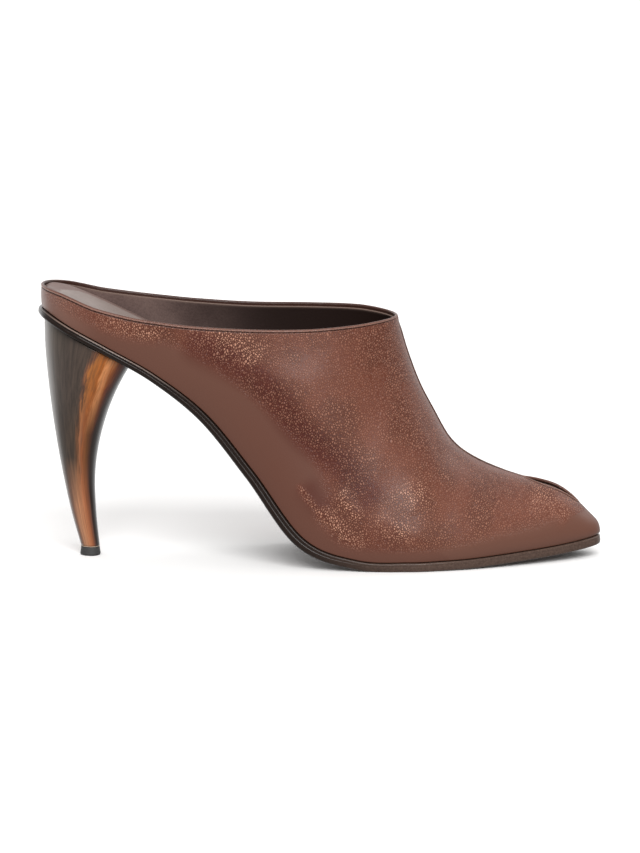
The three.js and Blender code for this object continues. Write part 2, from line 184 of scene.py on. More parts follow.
SWELL_POWER = 8
STEP = 1e-3  # in rows, for slopes
END_ROWS = 0.5  # nearer the ends than this, the slope of the bottom stays the same


def last(name, row):
    return spline(LAST[name], row, name in CARRIES_ON)


def bottom_x(row):
    return HEEL_BACK_X + last("along", row) / 100 * LAST_LENGTH


def bottom_z(row):
    return TREAD_LEVEL + last("pitch", row) / 100 * PITCH


def bottom_half(row):
    return last("half", row) / 100 * BALL_HALF_WIDTH


def bottom_edge(row, side):
    """The bottom's edge in plan, and the way out from it."""
    def y(r):
        return last("mid", r) + side * bottom_half(r)
    dx = bottom_x(row + STEP) - bottom_x(row - STEP)
    dy = y(row + STEP) - y(row - STEP)
    length = np.hypot(dx, dy)
    return bottom_x(row), y(row), -side * dy / length, side * dx / length


def swell(row, share):
    """How far the wall stands past the bottom's edge at a share of the section's rise."""
    return last("tuck", row) * (1 - (1 - share) ** SWELL_POWER)


def last_points(row, side, turn):
    """Points of the last; turn is 0 at the bottom's edge and a quarter turn at the ridge."""
    row, turn = np.broadcast_arrays(np.asarray(row, float), np.asarray(turn, float))
    edge_x, edge_y, out_x, out_y = bottom_edge(row, side)
    rise = last("rise", row) / 100 * INSTEP
    share = np.sin(turn) ** (2 / last("round", row))
    drawn = np.cos(turn)
    out = swell(row, share) * drawn
    lean = np.radians(last("lean", row))
    mid = last("mid", row)
    middle = mid + (last("crest", row) - mid) * share
    return np.stack([
        bottom_x(row) + rise * share * np.sin(lean) + out_x * out,
        middle + (edge_y - mid) * drawn + out_y * out,
        bottom_z(row) + rise * share * np.cos(lean),
    ], axis=-1)


def bottom_points(row, side, out, up):
    """Points off the last's bottom edge, out in plan and up along the bottom's own normal."""
    row = np.asarray(row, float)
    edge_x, edge_y, out_x, out_y = bottom_edge(row, side)
    inside = np.clip(row, END_ROWS, LAST_END - END_ROWS)
    slope = np.arctan2(bottom_z(inside + STEP) - bottom_z(inside - STEP),
                       bottom_x(inside + STEP) - bottom_x(inside - STEP))
    return np.stack(np.broadcast_arrays(
        edge_x + out_x * out - up * np.sin(slope),
        edge_y + out_y * out,
        bottom_z(row) + up * np.cos(slope),
    ), axis=-1)


def collar_height(x, y):
    along = 100 * (x - HEEL_BACK_X) / LAST_LENGTH
    blend = smoothstep(y, -COLLAR_BLEND, COLLAR_BLEND)
    outer, inner = (spline_along(COLLAR, name, along) for name in ("outer", "inner"))
    return THROAT_HEIGHT + outer + (inner - outer) * blend


def bisect(function, low, high, rounds=50):
    """Where a rising or falling function of one number crosses zero."""
    sign = function(low) > 0
    for _ in range(rounds):
        middle = (low + high) / 2
        if (function(middle) > 0) == sign:
            low = middle
        else:
            high = middle
    return (low + high) / 2


def ridge(row):
    return last_points(row, OUTER, math.pi / 2)


def above_collar(row):
    x, y, z = ridge(row)
    return z - collar_height(x, y)


# The throat lies between rows 6 and 10 of the last's table, the slit between 10.5 and 14.8.
THROAT_ROW = bisect(above_collar, 6.0, 10.0)
SLIT_BACK_ROW, SLIT_FRONT_ROW = (
    bisect(lambda row: ridge(row)[0] - (SLIT_MIDDLE_X + end * SLIT_LENGTH / 2), 10.5, 14.8)
    for end in (-1, 1))

SLIT_FULLNESS = 0.72  # 0.5 gives an ellipse, 1 a lens with sharp ends
TURN_STEPS = 200


def top_turn(rows, side):
    """The turn at which each section ends: at the collar, at the slit or on the ridge."""
    rows = np.asarray(rows, float)
    turns = np.linspace(0, math.pi / 2, TURN_STEPS)
    points = last_points(rows[:, None], side, turns[None, :])
    over = points[..., 2] - collar_height(points[..., 0], points[..., 1])
    top = np.full(len(rows), math.pi / 2)
    for i in np.nonzero(rows < THROAT_ROW - 1e-9)[0]:
        k = int(np.argmax(over[i] > 0))
        if over[i, k] > 0:
            share = over[i, k - 1] / (over[i, k - 1] - over[i, k])
            top[i] = turns[k - 1] + share * (turns[k] - turns[k - 1])
    x = last_points(rows, side, math.pi / 2)[:, 0]
    reach = np.clip(1 - ((x - SLIT_MIDDLE_X) / (SLIT_LENGTH / 2)) ** 2, 0, 1)
    in_slit = (rows > SLIT_BACK_ROW) & (rows < SLIT_FRONT_ROW)
    half = np.where(in_slit, SLIT_HALF_WIDTH * reach ** SLIT_FULLNESS, 0)
    share = half / np.maximum(bottom_half(rows), STEP)
    return np.where(in_slit, np.arccos(np.clip(share, 0, 1)), top)


# ------------------------------------------------------------------ the upper's grid

ROW_SPACING = 0.85  # between neighbouring rows of the skin's mesh
FINE_ROWS = 2400
FINE_REACH = 1.5  # rows behind the throat that are measured more finely
FAR_UP = np.array([0, 0, 100.0])  # the collar's edge faces up, and the slit's faces its middle


def skin_rows():
    """Row numbers spaced evenly along whichever of the skin's edges moves fastest, which is
    close to the throat and to the slit's ends, so those are measured more finely."""
    steps = np.linspace(0, 1, FINE_ROWS // 4)
    fine = np.unique(np.concatenate([
        np.linspace(0, LAST_END, FINE_ROWS), THROAT_ROW - (1 - steps) ** 2 * FINE_REACH,
        SLIT_BACK_ROW + steps ** 2, SLIT_FRONT_ROW - steps ** 2,
    ]))
    moved = np.zeros(len(fine) - 1)
    for side in SIDES:
        top = top_turn(fine, side)
        for turn in (0 * top, top):
            line = last_points(fine, side, turn)
            moved = np.maximum(moved, np.linalg.norm(np.diff(line, axis=0), axis=1))
    travelled = np.concatenate([[0], np.cumsum(moved)])
    stops = [0, THROAT_ROW, SLIT_BACK_ROW, SLIT_FRONT_ROW, LAST_END]
    rows = [0.0]
    for start, end in zip(stops[:-1], stops[1:]):
        first, final = np.interp([start, end], fine, travelled)
        count = max(int(round((final - first) / ROW_SPACING)), 4)
        wanted = np.linspace(first, final, count + 1)[1:]
        rows.extend(np.interp(wanted, travelled, fine))
        rows[-1] = end
    return np.array(rows)


TOP_STEPS = np.array([0, .2, .4, .6, .8, 1, 1.2, 1.4, 1.6, 1.8, 2.05, 2.35, 2.7, 3.2, 3.9, 4.9,
                      6.2])
BOTTOM_STEPS = np.array([0, .3, .6, 1, 1.5, 2.1, 2.8, 3.6, 4.6, 5.8])
MIDDLE_COLUMNS = 52
FULL_STEPS_OVER = 26.0  # sections shorter than this draw the steps closer together
SECTION_STEPS = 260  # for measuring along a section


def column_places(length, top_steps, bottom_steps, middle):
    """Distances from the bottom along one section, close together near both its ends."""
    shrink = min(1.0, length / FULL_STEPS_OVER)
    low, high = bottom_steps * shrink, length - top_steps[::-1] * shrink
    between = np.linspace(low[-1], high[0], middle + 2)[1:-1]
    return np.concatenate([low, between, high])


def skin_turns(rows, side, top_steps, bottom_steps, middle):
    """For every row, the turns of its columns, and each column's distance from either end."""
    top = top_turn(rows, side)
    shares = np.linspace(0, 1, SECTION_STEPS)
    turns, up, down = [], [], []
    for row, end in zip(rows, top):
        fine = shares * end
        line = last_points(row, side, fine)
        run = np.concatenate([[0], np.cumsum(np.linalg.norm(np.diff(line, axis=0), axis=1))])
        places = column_places(run[-1], top_steps, bottom_steps, middle)
        turns.append(np.interp(places, run, fine))
        turns[-1][-1] = end
        up.append(places)
        down.append(run[-1] - places)
    return np.array(turns), np.array(up), np.array(down)


def both_sides(rows, top_steps=TOP_STEPS, bottom_steps=BOTTOM_STEPS, middle=MIDDLE_COLUMNS):
    """Both sides' grids of points, and each point's distance from the bottom and the top."""
    turns, up, down = (np.array(part) for part in zip(*(
        skin_turns(rows, side, top_steps, bottom_steps, middle) for side in SIDES)))
    points = [last_points(rows[:, None], side, turn) for side, turn in zip(SIDES, turns)]
    return np.stack(points), up, down


def grid_normals(points):
    """Normals of the two sides' grids, shared where they meet, pointing away from the foot."""
    shape = points.shape
    flat = points.reshape(-1, 3)
    _, first, inverse = np.unique(np.round(flat / 1e-3).astype(np.int64), axis=0,
                                  return_index=True, return_inverse=True)
    inverse = inverse.reshape(-1)
    index = np.arange(len(flat)).reshape(shape[:-1])
    total = np.zeros((len(first), 3))
    for s, side in enumerate(SIDES):
        a, b = index[s, :-1, :-1].ravel(), index[s, 1:, :-1].ravel()
        c, d = index[s, 1:, 1:].ravel(), index[s, :-1, 1:].ravel()
        area = np.cross(flat[c] - flat[a], flat[d] - flat[b]) * -side
        for corner in (a, b, c, d):
            np.add.at(total, inverse[corner], area)
    return unit(total)[inverse].reshape(shape)


rows = skin_rows()
THROAT_INDEX = int(np.argmin(abs(rows - THROAT_ROW)))
SLIT_BACK_INDEX = int(np.argmin(abs(rows - SLIT_BACK_ROW)))
SLIT_FRONT_INDEX = int(np.argmin(abs(rows - SLIT_FRONT_ROW)))
index = np.arange(len(rows))
OPEN_ROW = (index <= THROAT_INDEX) | ((index >= SLIT_BACK_INDEX) & (index <= SLIT_FRONT_INDEX))
OPEN_STEP = OPEN_ROW[:-1] & OPEN_ROW[1:]


def edge_frames(edge, normals):
    """For the open edges, the direction across the edge, away from the leather.
    edge and normals hold one point for every side and row."""
    across = np.zeros_like(edge)
    for start, end in ((0, THROAT_INDEX), (SLIT_BACK_INDEX, SLIT_FRONT_INDEX)):
        part = slice(start, end + 1)
        one, other = edge[:, part]
        count = len(one)
        loop = np.concatenate([one, other[-2:0:-1]])
        along = unit(np.roll(loop, -1, axis=0) - np.roll(loop, 1, axis=0))
        back = np.concatenate([along[:1], along[count:][::-1], along[count - 1:count]])
        way = unit(np.cross(np.stack([along[:count], back]), normals[:, part]))
        aim = edge[:, part] + FAR_UP if start == 0 else edge[:, part].mean(axis=(0, 1))
        sign = np.sign(np.sum(way * (aim - edge[:, part]), axis=2))
        across[:, part] = way * sign[..., None]
    return across


# ------------------------------------------------------------------ meshes


def weld(points, faces, values, tolerance=1e-3):
    """Merges equal points, drops collapsed faces and points that no face uses."""
    keys = np.round(points / tolerance).astype(np.int64)
    _, first, inverse = np.unique(keys, axis=0, return_index=True, return_inverse=True)
    faces = inverse.reshape(-1)[faces]
    kept = []
    for face in faces.tolist():
        corners = [c for k, c in enumerate(face) if c != face[k - 1]]
        if len(corners) > 2 and len(set(corners)) == len(corners):
            kept.append(corners)
    used = np.unique([c for face in kept for c in face])
    renumber = np.full(len(first), -1)
    renumber[used] = np.arange(len(used))
    kept = [[int(renumber[c]) for c in face] for face in kept]
    order = first[used]
    return points[order], kept, {name: value[order] for name, value in values.items()}


def signed_volume(points, faces):
    """The volume that the faces enclose, negative if they point inwards."""
    fans = np.array([(face[0], face[k], face[k + 1])
                     for face in faces for k in range(1, len(face) - 1)])
    a, b, c = points[fans.T]
    return np.einsum("ij,ij->", a, np.cross(b, c)) / 6


def link_piece(name, mesh):
    piece = bpy.data.objects.new(name, mesh)
    bpy.context.scene.collection.objects.link(piece)
    return piece


def add_piece(name, points, faces, material, values=None):
    """A smooth-shaded mesh object, welded, with its faces outwards and values as attributes."""
    values = {key: np.ravel(value) for key, value in (values or {}).items()}
    points, faces, values = weld(points.reshape(-1, 3), faces, values)
    if signed_volume(points, faces) < 0:
        faces = [face[::-1] for face in faces]
    mesh = bpy.data.meshes.new(name)
    mesh.from_pydata((points * MM).tolist(), [], faces)
    for key, value in values.items():
        mesh.attributes.new(key, "FLOAT", "POINT").data.foreach_set("value", value)
    mesh.polygons.foreach_set("use_smooth", [True] * len(mesh.polygons))
    mesh.materials.append(material)
    mesh.update()
    return link_piece(name, mesh)


def wall_faces(kept):
    """Quads between rows of points that each run round a closed section. kept says, for every
    step between rows and every column, whether there is a face."""
    columns = kept.shape[1]
    i, j = np.nonzero(kept)
    k = (j + 1) % columns
    return np.stack([i * columns + j, (i + 1) * columns + j, (i + 1) * columns + k,
                     i * columns + k], axis=1)


def shell_faces(kept):
    """The same quads for the outer side's grid and, mirrored, for the inner side's."""
    quads = wall_faces(kept)
    return np.concatenate([quads, quads[:, ::-1] + (len(kept) + 1) * kept.shape[1]])


DRAWN_TOGETHER = 0.01  # square millimetres


def loft(name, sections, material, values=None):
    """A closed piece from rings of points. A fan closes the first and the last ring, unless
    the ring is drawn together to a line, where its two sides already meet."""
    count, around = sections.shape[:2]
    faces = [wall_faces(np.ones((count - 1, around), bool))]
    turn = np.arange(around)
    for end, ring in enumerate((0, count - 1)):
        corners = sections[ring]
        area = np.linalg.norm(np.cross(corners, np.roll(corners, -1, axis=0)).sum(axis=0)) / 2
        if area < DRAWN_TOGETHER:
            continue
        a, b = ring * around + turn, ring * around + (turn + 1) % around
        centre = np.full(around, count * around + end)
        faces.append(np.stack([a, b, centre, centre] if end == 0 else [b, a, centre, centre],
                              axis=1))
    centres = [sections[0].mean(axis=0), sections[-1].mean(axis=0)]
    points = np.concatenate([sections.reshape(-1, 3), centres])
    values = {key: np.append(value.ravel(), [value[0].mean(), value[-1].mean()])
              for key, value in (values or {}).items()}
    return add_piece(name, points, np.concatenate(faces), material, values)


# ------------------------------------------------------------------ nodes and materials


def colour(value):
    """An sRGB hex colour, or a number for a grey, as linear RGBA."""
    if not isinstance(value, str):
        return (value, value, value, 1.0)
    channels = [int(value[k:k + 2], 16) / 255 for k in (1, 3, 5)]
    linear = [c / 12.92 if c <= 0.04045 else ((c + 0.055) / 1.055) ** 2.4 for c in channels]
    return (*linear, 1.0)


def set_inputs(tree, node, inputs):
    """Gives each input, picked by its place or by its name with _ for a space, its value."""
    for key, value in inputs.items():
        socket = node.inputs[key if isinstance(key, int) else key.replace("_", " ")]
        if isinstance(value, bpy.types.Node):
            value = value.outputs[0]
        if isinstance(value, bpy.types.NodeSocket):
            tree.links.new(value, socket)
        else:
            socket.default_value = colour(value) if isinstance(value, str) else value


def add_node(tree, kind, settings=None, *in_order, **inputs):
    """Adds a node with its settings and links; "stops" are the places on a colour ramp."""
    node = tree.nodes.new(kind)
    for key, value in (settings or {}).items():
        if key != "stops":
            setattr(node, key, value)
            continue
        elements = node.color_ramp.elements
        while len(elements) > 1:
            elements.remove(elements[-1])
        elements[0].position, elements[0].color = value[0][0], colour(value[0][1])
        for place, shade in value[1:]:
            elements.new(place).color = colour(shade)
    set_inputs(tree, node, {**dict(enumerate(in_order)), **inputs})
    return node


class Finish:
    """A material, with object coordinates for its patterns and the piece's named attributes."""

    def __init__(self, name, *attributes):
        self.material = bpy.data.materials.new(name)
        self.material.use_nodes = True
        self.place = self.add("TexCoord").outputs["Object"]
        self.given = [self.add("Attribute", {"attribute_name": attribute}).outputs["Fac"]
                      for attribute in attributes]

    def add(self, kind, *settings_and_in_order, **inputs):
        return add_node(self.material.node_tree, "ShaderNode" + kind, *settings_and_in_order,
                        **inputs)

    def finish(self, **inputs):
        tree = self.material.node_tree
        set_inputs(tree, tree.nodes["Principled BSDF"], inputs)
        return self.material


PER_MM = 1 / MM  # a texture scale of PER_MM / n repeats every n millimetres
TIMES, TIMES_PLUS = {"operation": "MULTIPLY"}, {"operation": "MULTIPLY_ADD"}
DARKENED = {"blend_type": "MULTIPLY"}


def glazed_calf():
    """Calf leather, tumbled so that it crinkles, then glazed: a thin hard shine over a brown
    with painted shade between the pebbles and painted highlights on their tops."""
    f = Finish("glazed_calf", "crinkle", "crease", "rubbed", "burnished", "polished")
    crinkle, crease, rubbed, burnished, polished = f.given
    # The pebbles are 0.8 to 1.1 mm across, a little coarser than real ones so that they show,
    # and pulled out of shape by a bend every 3 mm.
    bent = f.add("TexNoise", Vector=f.place, Scale=PER_MM / 3, Detail=1.0)
    moved = f.add("MixRGB", {"blend_type": "LINEAR_LIGHT"}, Fac=0.0007, Color1=f.place,
                  Color2=bent.outputs["Color"])
    slanted = f.add("Mapping", Vector=moved, Rotation=(0.0, math.radians(-25), 0.0),
                    Scale=(1.0, 0.8, 0.75))
    pebbles = f.add("TexVoronoi", {"feature": "DISTANCE_TO_EDGE"}, Vector=slanted,
                    Scale=PER_MM / 0.8).outputs["Distance"]
    between = f.add("ValToRGB", {"stops": [(0.0, 1.0), (0.06, 0.6), (0.15, 0.0)]}, Fac=pebbles)
    tops = f.add("ValToRGB", {"stops": [(0.1, 0.0), (0.25, 1.0)]}, Fac=pebbles)
    # Patches some 17 mm across have more or fewer of them.
    patch = f.add("TexNoise", Vector=f.place, Scale=PER_MM / 17, Detail=2.0)
    share = f.add("ValToRGB", {"stops": [(0.4, 0.5), (0.56, 1.0)]}, Fac=patch)
    strength = f.add("Math", TIMES, share, crinkle)
    sunk_here = f.add("Math", TIMES, between, strength)
    raised_here = f.add("Math", TIMES, tops, strength)
    pores = f.add("TexNoise", Vector=f.place, Scale=PER_MM / 0.45, Detail=2.0)
    grain = f.add("Math", TIMES_PLUS, pores, 0.12, raised_here)
    bump = f.add("Bump", Strength=1.0, Distance=0.00025, Height=grain)
    cloudy = f.add("TexNoise", Vector=f.place, Scale=PER_MM / 26, Detail=3.0)
    base = f.add("ValToRGB", {"stops": [(0.35, "#693827"), (0.65, "#723f2d")]}, Fac=cloudy)
    # Where it was stretched smooth over the last, the brown is painted duller and greyer, a
    # painted sheen.
    sheened = f.add("MixRGB", Fac=crinkle, Color1="#684437", Color2=base)
    # Painted shade darkens the brown along the waist and under the long shoulder.
    toned = f.add("MixRGB", DARKENED, Fac=burnished, Color1=sheened, Color2="#c68b76")
    # Painted shade between the pebbles.
    valleys = f.add("Math", TIMES, sunk_here, 0.66)
    dark = f.add("MixRGB", Fac=valleys, Color1=toned, Color2="#3a190f")
    # Painted highlight on the pebbles' tops: some everywhere, more in the places listed for it.
    light = f.add("Math", TIMES_PLUS, polished, 0.6, 0.3)
    glint = f.add("Math", TIMES, raised_here, light)
    lit = f.add("MixRGB", Fac=glint, Color1=dark, Color2="#c8937a")
    # Painted highlight along the folded edge and on the heel's back curve.
    highlighted = f.add("MixRGB", Fac=rubbed, Color1=lit, Color2="#a98477")
    # Painted shadow along the stitches, along the ridge seam and on the fold's inner half.
    shadowed = f.add("MixRGB", Fac=crease, Color1=highlighted, Color2="#24120d")
    return f.finish(Base_Color=shadowed, Roughness=0.4, Normal=bump, IOR=1.5,
                    Specular_IOR_Level=0.3, Coat_Weight=0.1, Coat_Roughness=0.2)


def lining_leather():
    """Thin goat lining, brown and matt, with painted shade darkening it towards the toe."""
    f = Finish("lining_leather", "forward", "trim")
    forward, trim = f.given
    pores = f.add("TexNoise", Vector=f.place, Scale=PER_MM / 0.8, Detail=3.0)
    patches = f.add("TexNoise", Vector=f.place, Scale=PER_MM / 18, Detail=2.0)
    mottled = f.add("Math", TIMES_PLUS, pores, 0.5, patches)
    base = f.add("ValToRGB", {"stops": [(0.55, "#564440"), (0.95, "#75605a")]}, Fac=mottled)
    # Painted shade, darker towards the toe.
    shaded = f.add("MixRGB", Fac=forward, Color1=base, Color2="#20130f")
    # Painted highlight along the lining's top edge.
    edged = f.add("MixRGB", Fac=trim, Color1=shaded, Color2="#7b675e")
    bump = f.add("Bump", Strength=0.35, Distance=0.0002, Height=pores)
    return f.finish(Base_Color=edged, Roughness=0.6, Normal=bump, Specular_IOR_Level=0.2)


def sock_leather():
    """Smooth taupe sock leather with a fine even grain."""
    f = Finish("sock_leather", "border")
    grain = f.add("TexVoronoi", {"feature": "F1"}, Vector=f.place, Scale=PER_MM / 0.6)
    patches = f.add("TexNoise", Vector=f.place, Scale=PER_MM / 14, Detail=3.0)
    base = f.add("ValToRGB", {"stops": [(0.3, "#7e706a"), (0.7, "#8d7f79")]}, Fac=patches)
    toned = f.add("MixRGB", Fac=f.given[0], Color1=base, Color2="#75605a")
    bump = f.add("Bump", Strength=0.3, Distance=0.00015, Height=grain.outputs["Distance"])
    return f.finish(Base_Color=toned, Roughness=0.5, Normal=bump)


def waxed_sole():
    """Vegetable-tanned sole leather: its edge stained dark, waxed and ironed to a shine, its
    underside smoother and duller, scuffed a little where it treads."""
    f = Finish("waxed_sole", "under", "fore", "bead")
    under, fore, bead = f.given
    layers = f.add("TexNoise", Vector=f.place, Scale=PER_MM / 0.7, Detail=3.0)
    drawn_out = f.add("Mapping", Vector=f.place, Scale=(0.25, 1.0, 1.0))
    scuffs = f.add("TexNoise", Vector=drawn_out, Scale=PER_MM / 3, Detail=4.0)
    black, brown = (f.add("ValToRGB", {"stops": [(0.3, dark), (0.7, pale)]}, Fac=layers)
                    for dark, pale in (("#1a110d", "#271b15"), ("#46362f", "#5c4a41")))
    edge = f.add("MixRGB", Fac=fore, Color1=black, Color2=brown)
    tread = f.add("ValToRGB", {"stops": [(0.4, "#211a16"), (0.75, "#3a3029")]}, Fac=scuffs)
    # The bead along its top, round the seat, gets a painted highlight, and its coat is thickest
    # there.
    paler = f.add("Math", TIMES, bead, 0.5)
    beaded = f.add("MixRGB", Fac=paler, Color1=edge, Color2="#a88f82")
    base = f.add("MixRGB", Fac=under, Color1=beaded, Color2=tread)
    rough = f.add("ValToRGB", {"stops": [(0.0, 0.3), (1.0, 0.5)]}, Fac=under)
    shine = f.add("Math", TIMES_PLUS, bead, 0.8, 0.2)
    bump = f.add("Bump", Strength=0.25, Distance=0.0001, Height=layers)
    return f.finish(Base_Color=base, Roughness=rough, Normal=bump, Coat_Weight=shine,
                    Coat_Roughness=0.1, Specular_IOR_Level=0.12)


# The horn's colours from the heel's back to its breast, at three heights up the heel.
HORN_TOP = [(0.0, "#5a4f45"), (0.2, "#4b3f38"), (0.45, "#4a3c33"), (0.49, "#6c4734"),
            (0.53, "#a0622f"), (0.63, "#a55a1c"), (0.68, "#c07c48"), (0.73, "#c98350"),
            (0.77, "#95501f"), (0.82, "#5f2b15"), (0.87, "#35180f"), (1.0, "#1f130d")]
HORN_MIDDLE = [(0.0, "#54493f"), (0.2, "#3f342c"), (0.42, "#4a3a2e"), (0.5, "#674229"),
               (0.55, "#96603f"), (0.6, "#8a4d2a"), (0.68, "#7d4822"), (0.73, "#5f3614"),
               (0.78, "#472512"), (0.84, "#24130a"), (1.0, "#160d09")]
HORN_LOW = [(0.0, "#62534a"), (0.14, "#745343"), (0.28, "#aa785a"), (0.42, "#b67e5a"),
            (0.6, "#aa6a45"), (0.7, "#8c5030"), (0.8, "#6c4231"), (0.87, "#2e1d15"),
            (1.0, "#160d09")]


def lacquered_horn():
    """Imitation horn, cast in streaks of near-black, brown and amber, under clear lacquer."""
    f = Finish("lacquered_horn", "across", "up")
    across, up = f.given
    sideways = f.add("SeparateXYZ", Vector=f.place).outputs["Y"]
    # Streaks about 0.8 mm wide run up the whole heel and bend with it.
    grain_place = f.add("CombineXYZ", X=across, Y=sideways, Z=up)
    fine = f.add("TexNoise", Vector=f.add("Mapping", Vector=grain_place, Scale=(34, 400, 3.5)),
                 Scale=1.0, Detail=3.0, Roughness=0.6)
    broad = f.add("TexNoise", Vector=f.add("Mapping", Vector=grain_place, Scale=(7, 60, 4)),
                  Scale=1.0, Detail=2.0)
    nudged = f.add("Math", TIMES_PLUS, fine, 0.16, across)
    wandering = f.add("Math", TIMES_PLUS, broad, 0.14, nudged)
    # Near the seat the amber sets off further from the back.
    near_seat = f.add("MapRange", None, up, 0.75, 1.0, 0.15, 0.22)
    centred = f.add("Math", {"operation": "SUBTRACT"}, wandering, near_seat)
    base = f.add("ValToRGB", {"stops": HORN_LOW}, Fac=centred)
    for next_up, start, end in ((HORN_MIDDLE, 0.18, 0.4), (HORN_TOP, 0.5, 0.72)):
        upper_part = f.add("ValToRGB", {"stops": next_up}, Fac=centred)
        height = f.add("ValToRGB", {"stops": [(start, 0.0), (end, 1.0)]}, Fac=up)
        base = f.add("MixRGB", Fac=height, Color1=base, Color2=upper_part)
    streaks = f.add("ValToRGB", {"stops": [(0.35, 0.62), (0.62, 1.2)]}, Fac=fine)
    streaked = f.add("MixRGB", DARKENED, Fac=0.8, Color1=base, Color2=streaks)
    ripple = f.add("Bump", Strength=0.05, Distance=0.0003, Height=fine)
    return f.finish(Base_Color=streaked, Roughness=0.4, Normal=ripple, Coat_Weight=0.45,
                    Coat_Roughness=0.12, IOR=1.54, Specular_IOR_Level=0.2)


def waxed_thread():
    """Polyester thread, twisted and waxed, one shade darker than the calf."""
    f = Finish("waxed_thread")
    twist = f.add("TexWave", {"wave_type": "BANDS", "bands_direction": "DIAGONAL"},
                  Vector=f.place, Scale=PER_MM / 1.2).outputs["Fac"]
    base = f.add("ValToRGB", {"stops": [(0.2, "#1f110c"), (0.8, "#38211a")]}, Fac=twist)
    return f.finish(Base_Color=base, Roughness=0.6, Specular_IOR_Level=0.2)


def mottled(name, scale, detail, shades, bump=None, **surface):
    """A plain matt material of two shades in soft mottles. bump is a strength and a depth."""
    f = Finish(name)
    grain = f.add("TexNoise", Vector=f.place, Scale=scale, Detail=detail)
    base = f.add("ValToRGB", {"stops": shades}, Fac=grain)
    if bump:
        surface["Normal"] = f.add("Bump", Strength=bump[0], Distance=bump[1], Height=grain)
    return f.finish(Base_Color=base, **surface)


# Hard moulded polyurethane, with a fine mould grain.
HEEL_RUBBER = ("heel_rubber", PER_MM / 0.4, 3.0, [(0.3, "#343332"), (0.7, "#3f3e3d")],
               (0.4, 0.00015))
# A thin pale ring, showing as a pale line above the top piece.
PALE_RING = ("pale_ring", PER_MM / 1.5, 2.0, [(0.3, "#b7a08a"), (0.7, "#cdb9a4")])
# Seamless studio paper, off-white.
PALE_PAPER = ("pale_paper", 1.5, 1.0, [(0.0, "#fcfbfa"), (1.0, "#fefdfc")])

# ------------------------------------------------------------------ the upper

LEATHER = 1.2  # the skin's thickness; the lining makes up the rest of the wall
FOLD_COLUMNS = 9
FACING = 0.8  # how far the folded edge reaches down inside, above the lining
EDGE_BEAD = 0.18  # the folded edge stands this proud, over this breadth
EDGE_BEAD_BREADTH = 0.2
STITCH_LINE = 0.65  # below the edge
STITCH_GROOVE, STITCH_GROOVE_WIDTH = 0.3, 0.2
SEAM_DEPTH, SEAM_WIDTH = 0.45, 0.22
SEAM_SHOULDER, SEAM_SHOULDER_WIDTH = 0.1, 0.6
SEAM_SHOULDER_AT = 1  # from the seam's middle
SEAM_STEP = 0.4  # the inner side's shoulder stands prouder by this, down to the slit
SEAM_CLOSES = 1.6  # an open edge turns into the seam over this length
SEAM_SHADOW, SEAM_SHADOW_WIDTHS = 0.85, np.array([0.3, 0.55])  # a width for each side
STITCH_SHADOW, STITCH_SHADOW_WIDTH = 0.75, 0.22
FOLD_SHADOW = (0.05, 0.8)  # on the fold, from its face to its back
# Painted highlight along the folded edge, and on the heel's back curve in place of its reflection.
EDGE_HIGHLIGHT, EDGE_HIGHLIGHT_WIDTH = 0.6, 0.3
HEEL_HIGHLIGHT, HEEL_HIGHLIGHT_FADES = 0.35, (-150, -122)  # painted highlight from here, fading forwards to here
HIDDEN_COLUMNS = 5  # one column of the skin's hidden face for this many of its face's

skin, from_bottom, from_top = both_sides(rows)
skin_normals = grid_normals(skin)


def bell(distance, width):
    return np.exp(-0.5 * (distance / width) ** 2)


def edge_relief(distance):
    """The folded edge's bead and the groove that its stitches pull in."""
    bead = EDGE_BEAD * (1 - smoothstep(distance, EDGE_BEAD_BREADTH, STITCH_LINE))
    return bead - STITCH_GROOVE * bell(distance - STITCH_LINE, STITCH_GROOVE_WIDTH)


def seam_relief(distance, shoulder):
    """Two edges butted along the ridge: a fine groove between two soft shoulders."""
    raised = shoulder * bell(distance - SEAM_SHOULDER_AT, SEAM_SHOULDER_WIDTH)
    raised = raised * smoothstep(distance, 0, 0.5 * SEAM_SHOULDER_AT)
    return raised - SEAM_DEPTH * bell(distance, SEAM_WIDTH)


def openness():
    """1 on rows that end at the collar or the slit, fading to 0 along the ridge."""
    x = skin[0, :, -1, 0]
    to_throat = np.abs(x - x[THROAT_INDEX])
    to_slit = np.minimum(np.abs(x - x[SLIT_BACK_INDEX]), np.abs(x - x[SLIT_FRONT_INDEX]))
    nearest = np.where(OPEN_ROW, 0, np.minimum(to_throat, to_slit))
    return 1 - smoothstep(nearest, 0, SEAM_CLOSES)


def skin_relief():
    is_open = openness()[None, :, None]
    edge = edge_relief(from_top)
    step = SEAM_STEP * (1 - smoothstep(rows, SLIT_BACK_ROW - 1, SLIT_BACK_ROW))
    shoulder = SEAM_SHOULDER + np.stack([0 * step, step])[..., None]
    seam = seam_relief(from_top, shoulder)
    return is_open * edge + (1 - is_open) * seam


# What the foot's last and wear leave, drawn in the side view: a line of (x, z) places,
# how strong the feature is, how wide it is above and below the line, and, where it isn't over
# the first three tenths, where along the line it fades in.
FLARE = (  # the long shoulder over the waist, from the collar down to the ball
    [(-98, 95), (-80, 92), (-64, 86), (-50, 76), (-37, 63), (-23, 46), (-8, 30)],
    1.15, 12, 7, (0.2, 0.62))
FLEX_CREASES = [  # where the vamp bends behind the ball; the strength is a height
    ([(-43, 34), (-36, 26), (-29, 19), (-19, 11)], 0.14, 2.2, 2.4),
    ([(-28, 34), (-24, 28), (-17, 20)], 0.25, 1.8, 2.0),
    ([(-14, 24), (-8, 19), (2, 15), (10, 14)], 0.2, 2.4, 2.6),
    ([(-2, 38), (2, 30), (6, 24)], 0.18, 3, 3),
    ([(14, 36), (20, 27), (24, 18)], 0.25, 3.5, 3.5),
]
RELIEF_FROM_TOP, RELIEF_FROM_BOTTOM = (3, 26), (1, 6)  # over which these grow from the edges
